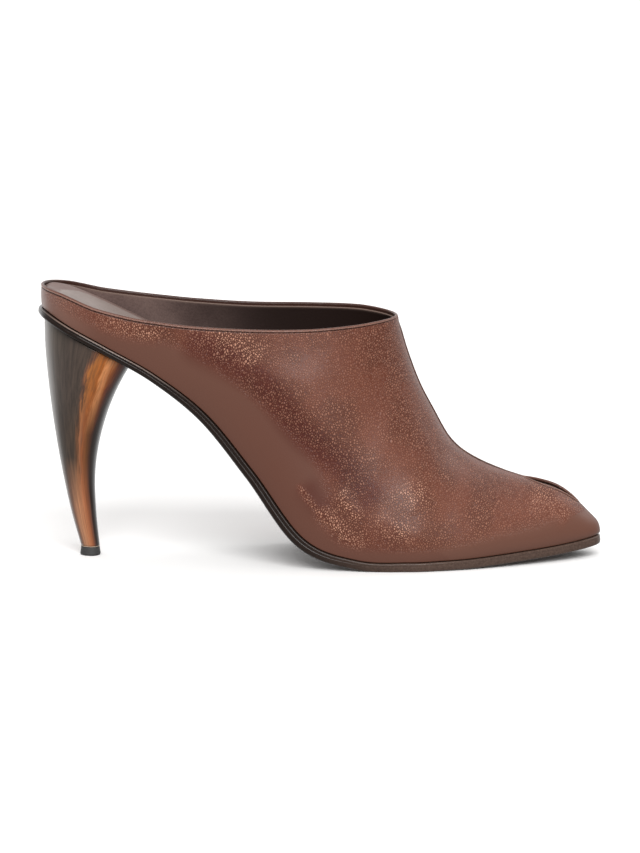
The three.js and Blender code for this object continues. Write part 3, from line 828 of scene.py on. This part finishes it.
# The pebbled grain shows above this line and fades out below it.
GRAIN_EDGE = [(-153, 112), (-140, 103), (-126, 98), (-107, 94), (-93, 90), (-73, 78), (-56, 64),
              (-40, 47), (-33, 34), (-31, 20), (-24, 11), (-9, 8), (9, 8.5), (30, 12), (66, 18)]
GRAIN_FADES, GRAIN_FROM_BOTTOM, GRAIN_INSIDE = (-3, 4.5), (2, 6), 0.2
# Painted shade: the skin is painted darkest along this band, just under the long shoulder.
DARK_BAND = ([(-92, 97), (-83, 92), (-68, 84), (-56, 75), (-44, 59), (-35, 51), (-25, 43),
              (-16, 33), (-9, 27)], 1.25, 3.6, 5.5, (0, 0.12), 0.9)
# Painted shade in front of the waist, where the skin turns up towards the light.
DARK_HOLLOW = ([(-43, 38), (-37, 30), (-30, 22)], 0.5, 3.6, 3.6)  # in front of the waist
# Painted shade below the band: a little dark, then darker along the waist, then paler again.
DARK_BELOW, BELOW_BAND = 0.1, (2, 10)
DARKER_BELOW, DARKER_ALONG = 0.16, (-85, -45)
PALER_BELOW, PALER_ALONG = 0.1, (-30, 15)
# Places where the pebbles' tops get a painted highlight, standing in for glints, and where the
# grain shows fully: a line, and how wide it is.
PAINTED_GLINTS = [
    ([(-90, 99), (-78, 95), (-66, 88), (-60, 83)], 4.5),
    ([(-45, 36), (-39, 28), (-33, 22)], 0.8),
    ([(-36.5, 27), (-30.5, 20), (-24.5, 14), (-15, 11)], 2.5),
    ([(-28, 33), (-24, 28), (-18, 21)], 1.8),
    ([(-14, 23), (-6, 17), (6, 14)], 2.6),
    ([(-30, 10), (-24, 8), (-17, 6.8)], 0.45),
    ([(-2, 36), (3, 30), (5, 25)], 3.5),
    ([(48, 26), (58, 23), (67, 17)], 2.6),
    ([(-128, 101), (-112, 97), (-98, 95)], 2.5),
]


def away_from_line(points, line):
    """Signed distances in the side view from a line of (x, z) places; above it is positive.
    Also the share of the way along it."""
    flat = points[..., [0, 2]]
    fine = np.linspace(0, len(line) - 1, 12 * (len(line) - 1) + 1)
    path = np.stack([spline([p[k] for p in line], fine) for k in range(2)], axis=1)
    nearest = np.full(flat.shape[:-1], np.inf)
    signed = np.zeros(flat.shape[:-1])
    share = np.zeros(flat.shape[:-1])
    for k in range(len(path) - 1):
        start, step = path[k], path[k + 1] - path[k]
        t = np.clip(((flat - start) @ step) / (step @ step), 0, 1)
        off = flat - (start + t[..., None] * step)
        distance = np.linalg.norm(off, axis=-1)
        side = np.sign(step[0] * off[..., 1] - step[1] * off[..., 0])
        closer = distance < nearest
        nearest = np.where(closer, distance, nearest)
        signed = np.where(closer, side * distance, signed)
        share = np.where(closer, (k + t) / (len(path) - 1), share)
    return signed, share


def drawn(points, line, strength, above, below, start=(0, 0.3), end=0.7):
    """How strong a feature drawn along a line is at each point."""
    signed, share = away_from_line(points, line)
    width = np.where(signed > 0, above, below)
    taper = smoothstep(share, *start) * (1 - smoothstep(share, end, 1))
    return strength * bell(signed, width) * taper


def worn_relief():
    relief = sum(drawn(skin, *feature) for feature in [FLARE, *FLEX_CREASES])
    return (relief * smoothstep(from_top, *RELIEF_FROM_TOP)
            * smoothstep(from_bottom, *RELIEF_FROM_BOTTOM))


def paint_shade():
    """Painted shade on the skin: all along the waist, and most just under the long shoulder."""
    signed, _ = away_from_line(skin, DARK_BAND[0])
    x = skin[..., 0]
    waist = (DARK_BELOW + DARKER_BELOW * smoothstep(x, *DARKER_ALONG)
             - PALER_BELOW * smoothstep(x, *PALER_ALONG))
    waist = waist * smoothstep(-signed, *BELOW_BAND) + drawn(skin, *DARK_HOLLOW)
    return np.clip(np.maximum(drawn(skin, *DARK_BAND), waist), 0, 1)


# Where the pebbles' tops get a painted highlight.
def paint_glints():
    return np.max([drawn(skin, line, 1, width, width, (0, 0.15), 0.85)
                   for line, width in PAINTED_GLINTS], axis=0)


relief = skin_relief() + worn_relief()
skin_surface = skin + skin_normals * relief[..., None]
folded_from = skin_surface[:, :, -1]
edge_normals = skin_normals[:, :, -1]
across = edge_frames(skin[:, :, -1], edge_normals)


def folded_edge():
    """The half-round fold from the skin's face to its back, for every side and row."""
    radius = (LEATHER + relief[:, :, -1]) / 2
    centre = folded_from - edge_normals * radius[..., None]
    angles = np.linspace(0, math.pi, FOLD_COLUMNS)[1:-1]
    arcs = [
        centre + radius[..., None] * (edge_normals * math.cos(a) + across * math.sin(a))
        for a in angles
    ]
    return np.stack(arcs, axis=2)


def upper_skin(material):
    fold = folded_edge()
    columns = skin.shape[2]
    coarse = np.append(np.arange(0, columns - 1, HIDDEN_COLUMNS), columns - 1)[::-1]
    inside = skin[:, :, coarse] - skin_normals[:, :, coarse] * LEATHER
    ring = np.concatenate([skin_surface, fold, inside], axis=2)
    column = np.arange(ring.shape[2])
    in_fold = (column >= columns - 1) & (column < columns + fold.shape[2])

    # Painted highlight on the pebbles' tops, in the places listed for it.
    polished = paint_glints()
    above_grain_edge, _ = away_from_line(skin, GRAIN_EDGE)
    crinkle = np.maximum(smoothstep(above_grain_edge, *GRAIN_FADES), polished)
    crinkle = crinkle * smoothstep(from_bottom, *GRAIN_FROM_BOTTOM)
    is_open = openness()[None, :, None]
    # Painted highlight along the folded edge and the heel's back curve.
    rubbed = (EDGE_HIGHLIGHT * bell(from_top, EDGE_HIGHLIGHT_WIDTH) * is_open
              + HEEL_HIGHLIGHT * (1 - smoothstep(skin[..., 0], *HEEL_HIGHLIGHT_FADES)))
    # Painted shadow along the stitch line and the seam.
    crease = (STITCH_SHADOW * bell(from_top - STITCH_LINE, STITCH_SHADOW_WIDTH) * is_open
              + SEAM_SHADOW * bell(from_top, SEAM_SHADOW_WIDTHS[:, None, None]) * (1 - is_open))

    def all_round(value, inside_value=0.0):
        """The value on the skin's face, and one value for its fold and its hidden face."""
        more = ((0, 0), (0, 0), (0, ring.shape[2] - columns))
        return np.pad(value, more, constant_values=inside_value)

    crease = all_round(crease, FOLD_SHADOW[1])
    # The fold's painted shadow is only on its inner half.
    crease[:, :, columns:columns + fold.shape[2]] = np.linspace(*FOLD_SHADOW, fold.shape[2])
    return add_piece("upper_skin", ring, shell_faces(~in_fold | OPEN_STEP[:, None]), material, {
        "crinkle": all_round(crinkle, GRAIN_INSIDE), "crease": crease, "rubbed": all_round(rubbed),
        "burnished": all_round(paint_shade()), "polished": all_round(polished),
    })


LINING_BACK = LEATHER + 0.05
LINING_ROWS = 2  # one row of the lining's mesh for this many of the skin's
LINING_TOP_STEPS = np.array([0, .3, .8, 1.6, 3.0, 5.0])
LINING_BOTTOM_STEPS = np.array([0, 1.5, 3.5, 6.0])
LINING_COLUMNS = 20
SHADED = (-135, -50)  # along the shoe, where the lining grows dark
FACING_WIDTH, LINING_GLINT_WIDTH = 2.5, 0.4  # how far below the edge the facing and the painted highlight along the lining's edge reach


def lining_shell(material):
    """The lining's two faces, from the facing down to the insole, with its edge rounded."""
    chosen = sorted({*range(0, len(rows), LINING_ROWS), THROAT_INDEX, SLIT_BACK_INDEX,
                     SLIT_FRONT_INDEX, len(rows) - 1})
    is_open = OPEN_ROW[chosen]
    points, _, below = both_sides(rows[chosen], LINING_TOP_STEPS, LINING_BOTTOM_STEPS,
                                  LINING_COLUMNS)
    normals = grid_normals(points)
    drop = FACING * bell(below, FACING_WIDTH)[..., None] * is_open[None, :, None, None]
    shift = -across[:, chosen][:, :, None, :] * drop
    back, face = (points - normals * depth + shift for depth in (LINING_BACK, WALL))
    ring = np.concatenate([back, face[:, :, ::-1]], axis=2)
    at_edge = np.arange(ring.shape[2]) == back.shape[2] - 1
    open_step = is_open[:-1] & is_open[1:]
    # Painted highlight along the lining's top edge.
    trim = bell(below, LINING_GLINT_WIDTH) * is_open[None, :, None]
    # Painted shade on the lining, growing towards the toe.
    forward = smoothstep(points[..., 0], *SHADED)
    values = {name: np.concatenate([value, value[:, :, ::-1]], axis=2)
              for name, value in (("trim", trim), ("forward", forward))}
    return add_piece("lining", ring, shell_faces(~at_edge | open_step[:, None]), material, values)


# ------------------------------------------------------------------ stitches

STITCH_LENGTH = 1.55
STITCH_PITCH = 2.1
STITCH_THICKNESS = 0.32
STITCH_LIFT = 0.05  # of a stitch's middle over the skin's face


def stitch_tree():
    """Geometry Nodes: a thread's stitches, one at every pitch along the mesh's edges."""
    tree = bpy.data.node_groups.new("stitches", "GeometryNodeTree")
    for label, kind in (("Geometry", "Geometry"), ("Pitch", "Float"), ("Length", "Float"),
                        ("Thickness", "Float"), ("Thread", "Material")):
        tree.interface.new_socket(label, in_out="INPUT", socket_type="NodeSocket" + kind)
    tree.interface.new_socket("Geometry", in_out="OUTPUT", socket_type="NodeSocketGeometry")
    given = add_node(tree, "NodeGroupInput").outputs
    curve = add_node(tree, "GeometryNodeMeshToCurve", Mesh=given["Geometry"])
    even = add_node(tree, "GeometryNodeResampleCurve", {"mode": "LENGTH"}, Curve=curve,
                    Length=given["Pitch"])
    bead = add_node(tree, "GeometryNodeMeshUVSphere", Segments=8, Rings=5, Radius=0.5)
    size = add_node(tree, "ShaderNodeCombineXYZ", X=given["Length"], Y=given["Thickness"],
                    Z=given["Thickness"])
    tangent = add_node(tree, "GeometryNodeInputTangent")
    turned = add_node(tree, "FunctionNodeAlignRotationToVector", {"axis": "X"}, Vector=tangent)
    laid = add_node(tree, "GeometryNodeInstanceOnPoints", Points=even, Instance=bead,
                    Rotation=turned, Scale=size)
    real = add_node(tree, "GeometryNodeRealizeInstances", Geometry=laid)
    smooth = add_node(tree, "GeometryNodeSetShadeSmooth", Geometry=real)
    threaded = add_node(tree, "GeometryNodeSetMaterial", Geometry=smooth,
                        Material=given["Thread"])
    add_node(tree, "NodeGroupOutput", Geometry=threaded)
    return tree


def sew(name, path, thread, tree):
    """A row of stitches along a closed path of points, as a plain mesh."""
    count = len(path)
    mesh = bpy.data.meshes.new(name + "_path")
    mesh.from_pydata((path * MM).tolist(), [(k, (k + 1) % count) for k in range(count)], [])
    guide = link_piece(name + "_path", mesh)
    modifier = guide.modifiers.new("stitches", "NODES")
    modifier.node_group = tree
    wanted = {"Pitch": STITCH_PITCH * MM, "Length": STITCH_LENGTH * MM,
              "Thickness": STITCH_THICKNESS * MM, "Thread": thread}
    for item in tree.interface.items_tree:
        if item.item_type == "SOCKET" and item.in_out == "INPUT" and item.name in wanted:
            modifier[item.identifier] = wanted[item.name]
    guide.update_tag()
    view = bpy.context.evaluated_depsgraph_get()
    made = bpy.data.meshes.new_from_object(guide.evaluated_get(view))
    made.name = name
    bpy.data.objects.remove(guide)
    return link_piece(name, made)


def loop_at(distance, start, end):
    """The closed line round an opening, this far from its edge and on the skin's face."""
    part = slice(start, end + 1)
    nearest = np.argmin(abs(from_top[:, part] - distance), axis=2)[..., None, None]
    lifted = skin_surface[:, part] + skin_normals[:, part] * STITCH_LIFT
    outer, inner = np.take_along_axis(lifted, nearest, axis=2)[:, :, 0]
    return np.concatenate([outer, inner[-2:0:-1]])


# ------------------------------------------------------------------ sole, sock and heel

SOLE_ACROSS = 8
SOLE_CORNER = 0.6
SOLE_GROOVE = 0.2  # a fine line pressed along the edge under its top bead, fading at the ball
SOLE_GROOVE_SHAPE = ((-0.24, 0), (-0.1, 0.7), (0, 1), (0.1, 0.7), (0.24, 0))
SOLE_GROOVE_FADES, SOLE_GROOVE_LOST = (40, 60), 0.7  # along the last, and by this share
SOLE_FOOT = 0.7
SOLE_TOP = (6.0, 1.2)  # its top face's places in from the edge
GROOVE_AT, SIDE_TURNS_AT = 0.36, 0.48  # down the edge, as shares of the thickness
SIDE_OUT_POWER, SIDE_UP_POWER = 0.8, 1.1
UNDER_AT_CORNER = (0.6, 1.0)  # how far the profile's last two points look like the underside
BEAD_POINTS, BEAD_GROWS, BEAD_FADES = slice(3, 6), (-1, 6), (14, 30)


def sole_profile(above, below, thickness, groove_depth):
    """The sole's edge from its top face to its underside, as (out, up) pairs."""
    points = [(above - inwards, 0) for inwards in SOLE_TOP]
    for a in np.radians(np.linspace(90, 0, 6)):
        points.append((above - SOLE_CORNER * (1 - math.cos(a)),
                       -SOLE_CORNER * (1 - math.sin(a))))
    groove, drop = GROOVE_AT * thickness, SIDE_TURNS_AT * thickness
    for depth, out in SOLE_GROOVE_SHAPE:
        points.append((above - groove_depth * out, -groove - depth))
    for angle in np.linspace(0, math.pi / 2, 8):
        points.append((below + (above - below) * math.cos(angle) ** SIDE_OUT_POWER,
                       -drop - (thickness - drop) * math.sin(angle) ** SIDE_UP_POWER))
    points.append((below - SOLE_FOOT, -thickness))
    return [(out, up - GAP) for out, up in points]


def sole_sections():
    """The sole's rings, how far each point belongs to the underside, and to the top bead."""
    sections, unders, beads = [], [], []
    for row in rows:
        place = last("along", row)
        above, below, thickness = (float(spline_along(SOLE_EDGE, name, place))
                                   for name in ("above", "below", "thickness"))
        fades = float(smoothstep(place, *SOLE_GROOVE_FADES))
        groove_depth = SOLE_GROOVE * (1 - SOLE_GROOVE_LOST * fades)
        out, up = np.array(sole_profile(above, below, thickness, groove_depth)).T
        outer, inner = (bottom_points(row, side, out, up) for side in SIDES)
        for half in (outer, inner):
            half[:, 2] = np.maximum(half[:, 2], 0)
        shares = np.linspace(0, 1, SOLE_ACROSS + 2)[1:-1, None]
        under = outer[-1] + (inner[-1] - outer[-1]) * shares
        over = inner[0] + (outer[0] - inner[0]) * shares
        sections.append(np.concatenate([outer, under, inner[::-1], over]))
        mark, bead = np.zeros(len(out)), np.zeros(len(out))
        mark[-2:] = UNDER_AT_CORNER
        bead[BEAD_POINTS] = smoothstep(place, *BEAD_GROWS) * (1 - smoothstep(place, *BEAD_FADES))
        none = np.zeros(SOLE_ACROSS)
        unders.append(np.concatenate([mark, np.ones(SOLE_ACROSS), mark[::-1], none]))
        beads.append(np.concatenate([bead, none, bead[::-1], none]))
    return np.array(sections), np.array(unders), np.array(beads)


SOCK_ACROSS = 41
SOCK_INSET = WALL + 0.7
SOCK_BORDER = 2.6  # a flat margin round the pad, wider behind the heel
SOCK_BORDER_BACK, SOCK_BORDER_NARROWS = 5.4, (4, 16)
SOCK_INNER_RISE = 0.5  # the pad climbs a little further up the inner side
SOCK_SPREAD = 24  # sections narrower than this are drawn up to the rim's level
SOCK_ROUNDING, SOCK_GROOVE = 0.8, 0.35  # how far the rim and the pad's outline sink
SOCK_ROUNDING_WIDTH, SOCK_GROOVE_WIDTH = 0.9, 0.35
SOCK_OUTLINE = (-0.3, 0.2)  # over which the margin's colour turns into the pad's


def sock_sections():
    """The sock's rings and how far each point belongs to the margin round its pad."""
    feet, tops, rims = [], [], []
    shares = np.linspace(-1, 1, SOCK_ACROSS)
    for row in rows[::2]:
        place = last("along", row)
        height, cup = (float(spline_along(INSOLE, name, place)) for name in ("height", "cup"))
        rise = float(last("rise", row)) / 100 * INSTEP
        edges = [[bottom_points(row, side, swell(row, min(up / rise, 1)) - SOCK_INSET, up)
                  for up in (0, 0.5 * height, height)] for side in SIDES]
        ends = [edge[-1] for edge in edges]
        top = ends[0] + (ends[1] - ends[0]) * (0.5 * (shares[:, None] + 1))
        spread = smoothstep(np.linalg.norm(ends[1] - ends[0]), 0, SOCK_SPREAD)
        top[:, 2] += cup * (1 - spread * (1 - shares ** 2))
        top[:, 2] += SOCK_INNER_RISE * spread * np.clip(shares, 0, 1) ** 2
        feet.append([edge[0] for edge in edges] + [edge[1] for edge in edges])
        tops.append(top)
        rims.append(ends)
    tops = np.array(tops)
    rim = np.array(rims)[..., :2].reshape(-1, 2)
    from_edge = np.array([
        np.sqrt(((top[:, None, :2] - rim[None]) ** 2).sum(axis=2).min(axis=1)) for top in tops])
    width = SOCK_BORDER + (SOCK_BORDER_BACK - SOCK_BORDER) * (
        1 - smoothstep(tops[..., 0] - HEEL_BACK_X, *SOCK_BORDER_NARROWS))
    tops[..., 2] -= SOCK_ROUNDING * (1 - smoothstep(from_edge, 0, SOCK_ROUNDING_WIDTH))
    tops[..., 2] -= SOCK_GROOVE * bell(from_edge - width, SOCK_GROOVE_WIDTH)
    border = 1 - smoothstep(from_edge - width, *SOCK_OUTLINE)
    sections = [np.concatenate([[foot[0], foot[2]], top, [foot[3], foot[1]]])
                for foot, top in zip(feet, tops)]
    return np.array(sections), np.pad(border, ((0, 0), (2, 2)), constant_values=1)


HEEL_TURNS = np.linspace(0, 2 * math.pi, 96, endpoint=False)
HEEL_LEVELS = 110
HEEL_SHARE_BEHIND = 0.58  # of each slice's length lies behind its widest place
HEEL_DRAWN_TO = 1.06 * SEAT_HEIGHT  # past the seat, which then cuts it
FINE_LEVELS = 300


def seat_height(x):
    """The level of the sole's underside over the heel, a gap below it."""
    some = np.linspace(0.02, 6, 400)
    line = bottom_points(some, INNER, 0, -(SEAT_THICKNESS + 2 * GAP))
    return np.interp(x, line[:, 0], line[:, 2])


def heel_outline(level, turn):
    """A point of the heel's surface at this height, in plan; turn 0 is the breast's middle."""
    ups = HEEL_FOOT + np.array(HEEL["up"])[::-1] / 100 * (SEAT_HEIGHT - HEEL_FOOT)
    row = np.interp(level, ups, np.arange(len(ups)))
    back, front, half, square, hollow = (
        spline(HEEL[name][::-1], row) for name in ("back", "front", "half", "square", "hollow"))
    centre = back + HEEL_SHARE_BEHIND * (front - back)
    c, s = np.cos(turn), np.sin(turn)
    power = np.where(c > 0, 2 / square, 1)
    reach = np.where(c > 0, front - centre, centre - back)
    x = centre + np.sign(c) * reach * np.abs(c) ** power
    x = x - np.where(c > 0, hollow * c ** 4, 0)
    y = np.sign(s) * half * np.abs(s) ** power
    return HEEL_BACK_X + x, y, (x - back) / (front - back)


def heel_column(turn):
    """The heel's surface up one line from its foot to the seat."""
    levels = np.linspace(HEEL_FOOT, HEEL_DRAWN_TO, FINE_LEVELS)
    x, _, _ = heel_outline(levels, turn)
    over = levels - seat_height(x)
    k = int(np.argmax(over > 0))
    top = levels[k] if over[k] > 0 else levels[-1]
    chosen = np.linspace(HEEL_FOOT, top, HEEL_LEVELS)
    x, y, share = heel_outline(chosen, turn)
    return np.stack([x, y, np.minimum(chosen, seat_height(x))], axis=-1), share


def heel_sections():
    columns, shares = zip(*(heel_column(turn) for turn in HEEL_TURNS))
    sections = np.stack(columns, axis=1)
    across_share = np.stack(shares, axis=1)
    up = (sections[..., 2] - HEEL_FOOT) / (SEAT_HEIGHT - HEEL_FOOT)
    return sections, across_share, up


TIP_FLARE = 0.35
# How far each level of the top piece stands past the heel's foot, from its top down.
TIP_PROFILE = [(-0.3, TIP_HIGH), (-0.05, TIP_HIGH - 0.12), (0.02, TIP_HIGH - 0.4),
               (0.2, 0.5 * TIP_HIGH), (TIP_FLARE, 0.7), (TIP_FLARE - 0.05, 0.3),
               (TIP_FLARE - 0.3, 0.0)]
PALE_LOW, PALE_HIGH = TIP_HIGH + 0.02, HEEL_FOOT - 0.02
PALE_PROFILE = [(-0.15, PALE_LOW), (0.06, PALE_LOW + 0.08), (0.06, PALE_HIGH - 0.08),
                (-0.15, PALE_HIGH)]


def foot_sections(profile):
    """Level rings in the shape of the heel's foot; profile gives how far each is grown and
    its height."""
    x, y, _ = heel_outline(np.full(len(HEEL_TURNS), HEEL_FOOT), HEEL_TURNS)
    ring = np.stack([x, y, np.zeros(len(HEEL_TURNS))], axis=-1)
    out = unit(ring - ring.mean(axis=0))
    return np.stack([ring + out * grow + np.array([0, 0, z]) for grow, z in profile])


# ------------------------------------------------------------------ making the pieces

upper_piece = upper_skin(glazed_calf())
lining_piece = lining_shell(lining_leather())
collar_stitches = sew("collar_stitches", loop_at(STITCH_LINE, 0, THROAT_INDEX), waxed_thread(),
                      stitch_tree())
sole_rings, sole_under, sole_bead = sole_sections()
sole_fore = smoothstep(sole_rings[..., 0], -50, 10)
sole_piece = loft("leather_sole", sole_rings, waxed_sole(),
                  {"under": sole_under, "fore": sole_fore, "bead": sole_bead})
sock_rings, sock_border = sock_sections()
sock_piece = loft("insole_sock", sock_rings, sock_leather(), {"border": sock_border})
heel_rings, heel_across, heel_up = heel_sections()
heel_piece = loft("horn_heel", heel_rings, lacquered_horn(),
                  {"across": heel_across, "up": heel_up})
tip_piece = loft("heel_tip", foot_sections(TIP_PROFILE),
                 mottled(*HEEL_RUBBER, Roughness=0.7))
pale_piece = loft("heel_tip_line", foot_sections(PALE_PROFILE),
                  mottled(*PALE_RING, Roughness=0.45))

for piece, node, slot in (
    (upper_piece, "upper", "upper_leather"),
    (lining_piece, None, "sock_leather"),
    (collar_stitches, None, "upper_leather"),
    (sole_piece, "outsole", "sole_leather"),
    (sock_piece, "insole", "sock_leather"),
    (heel_piece, "heel", "horn"),
    (tip_piece, "top_piece", "heel_rubber"),
    (pale_piece, None, "horn"),
):
    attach(piece, "root")
    if node:
        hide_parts(node)

# ------------------------------------------------------------------ floor, light and camera

FLOOR_HALF = 12.0
floor_mesh = bpy.data.meshes.new("paper_floor")
floor_mesh.from_pydata(
    [(x * FLOOR_HALF, y * FLOOR_HALF, 0) for x, y in ((-1, -1), (1, -1), (1, 1), (-1, 1))],
    [], [(0, 1, 2, 3)])
floor_mesh.materials.append(mottled(*PALE_PAPER, Roughness=0.9, Specular_IOR_Level=0.1))
floor = link_piece("paper_floor", floor_mesh)
# The floor shows and takes the shoe's shadow; the tent stands for the light that it throws back.
floor.visible_diffuse = False
floor.visible_glossy = False

# Plain colours, with no film curve over them.
bpy.context.scene.view_settings.view_transform = "Standard"

# Brightness from straight down (0) through the horizon (0.5) to straight up (1).
TENT = [(0.0, 0.6), (0.44, 0.5), (0.5, 0.26), (0.65, 0.28), (0.9, 0.8)]
# How each direction is read: from these two places, to these two values.
DOWN_TO_UP = (-1, 1, 0, 1)
BACKDROP = (0.1, 0.7, 0.0, 1.0)  # white behind the shoe, so that its edges catch light
LEFT_TO_RIGHT = (-0.7, 0.7, 1.6, 0.75)  # and brighter at its heel than at its toe


def light_tent():
    """The studio around: a bright white ceiling that falls to a dim grey at eye level."""
    world = bpy.data.worlds.new("light_tent")
    world.use_nodes = True
    tree = world.node_tree
    way = add_node(tree, "ShaderNodeTexCoord").outputs["Generated"]
    x, y, z = add_node(tree, "ShaderNodeSeparateXYZ", Vector=way).outputs
    height, behind, to_left = (
        add_node(tree, "ShaderNodeMapRange", None, part, *limits)
        for part, limits in ((z, DOWN_TO_UP), (y, BACKDROP), (x, LEFT_TO_RIGHT)))
    ceiling = add_node(tree, "ShaderNodeValToRGB", {"stops": TENT}, Fac=height)
    sided = add_node(tree, "ShaderNodeMath", TIMES, behind, to_left)
    brighter = add_node(tree, "ShaderNodeMath", {"operation": "MAXIMUM"}, ceiling, sided)
    set_inputs(tree, tree.nodes["Background"], {"Color": brighter})
    bpy.context.scene.world = world


light_tent()
middle = (Vector(cad_box[0]) + Vector(cad_box[1])) / 2


def stand(name, data, azimuth, elevation, distance, target):
    """Puts a light or camera on its stand, aimed at a point; azimuth 0 faces the outer side."""
    a, e = math.radians(azimuth), math.radians(elevation)
    way = Vector((math.sin(a) * math.cos(e), -math.cos(a) * math.cos(e), math.sin(e)))
    holder = link_piece(name, data)
    holder.location = target + way * distance
    holder.rotation_euler = way.to_track_quat("Z", "Y").to_euler()
    return holder


# The key is so large and far that it lights the whole floor evenly; the others are soft boxes.
for name, kind, azimuth, elevation, distance, power, size in (
    ("key_light", "SUN", 9, 36, 3, 2.7, math.radians(40)),
    ("glint_light", "AREA", -40, 45, 1.5, 0.7, 0.22),
    ("rim_light", "AREA", 120, 35, 1.5, 3, 0.7),
):
    lamp = bpy.data.lights.new(name, kind)
    lamp.energy = power
    setattr(lamp, "angle" if kind == "SUN" else "size", size)
    stand(name, lamp, azimuth, elevation, distance, middle)

CAMERA_AZIMUTH = 1.5
CAMERA_ELEVATION = 9.5
CAMERA_DISTANCE = 2.6
SENSOR = 36.0
FRAME_WIDTH = 0.2617  # the breadth that the frame shows at the shoe
AIM_BELOW_MIDDLE = 0.0026

camera_data = bpy.data.cameras.new("camera")
camera_data.sensor_fit = "HORIZONTAL"
camera_data.sensor_width = SENSOR
camera_data.lens = SENSOR * CAMERA_DISTANCE / FRAME_WIDTH
camera_data.clip_end = 50
aim = middle - Vector((0, 0, AIM_BELOW_MIDDLE))
bpy.context.scene.camera = stand("camera", camera_data, CAMERA_AZIMUTH, CAMERA_ELEVATION,
                                 CAMERA_DISTANCE, aim)
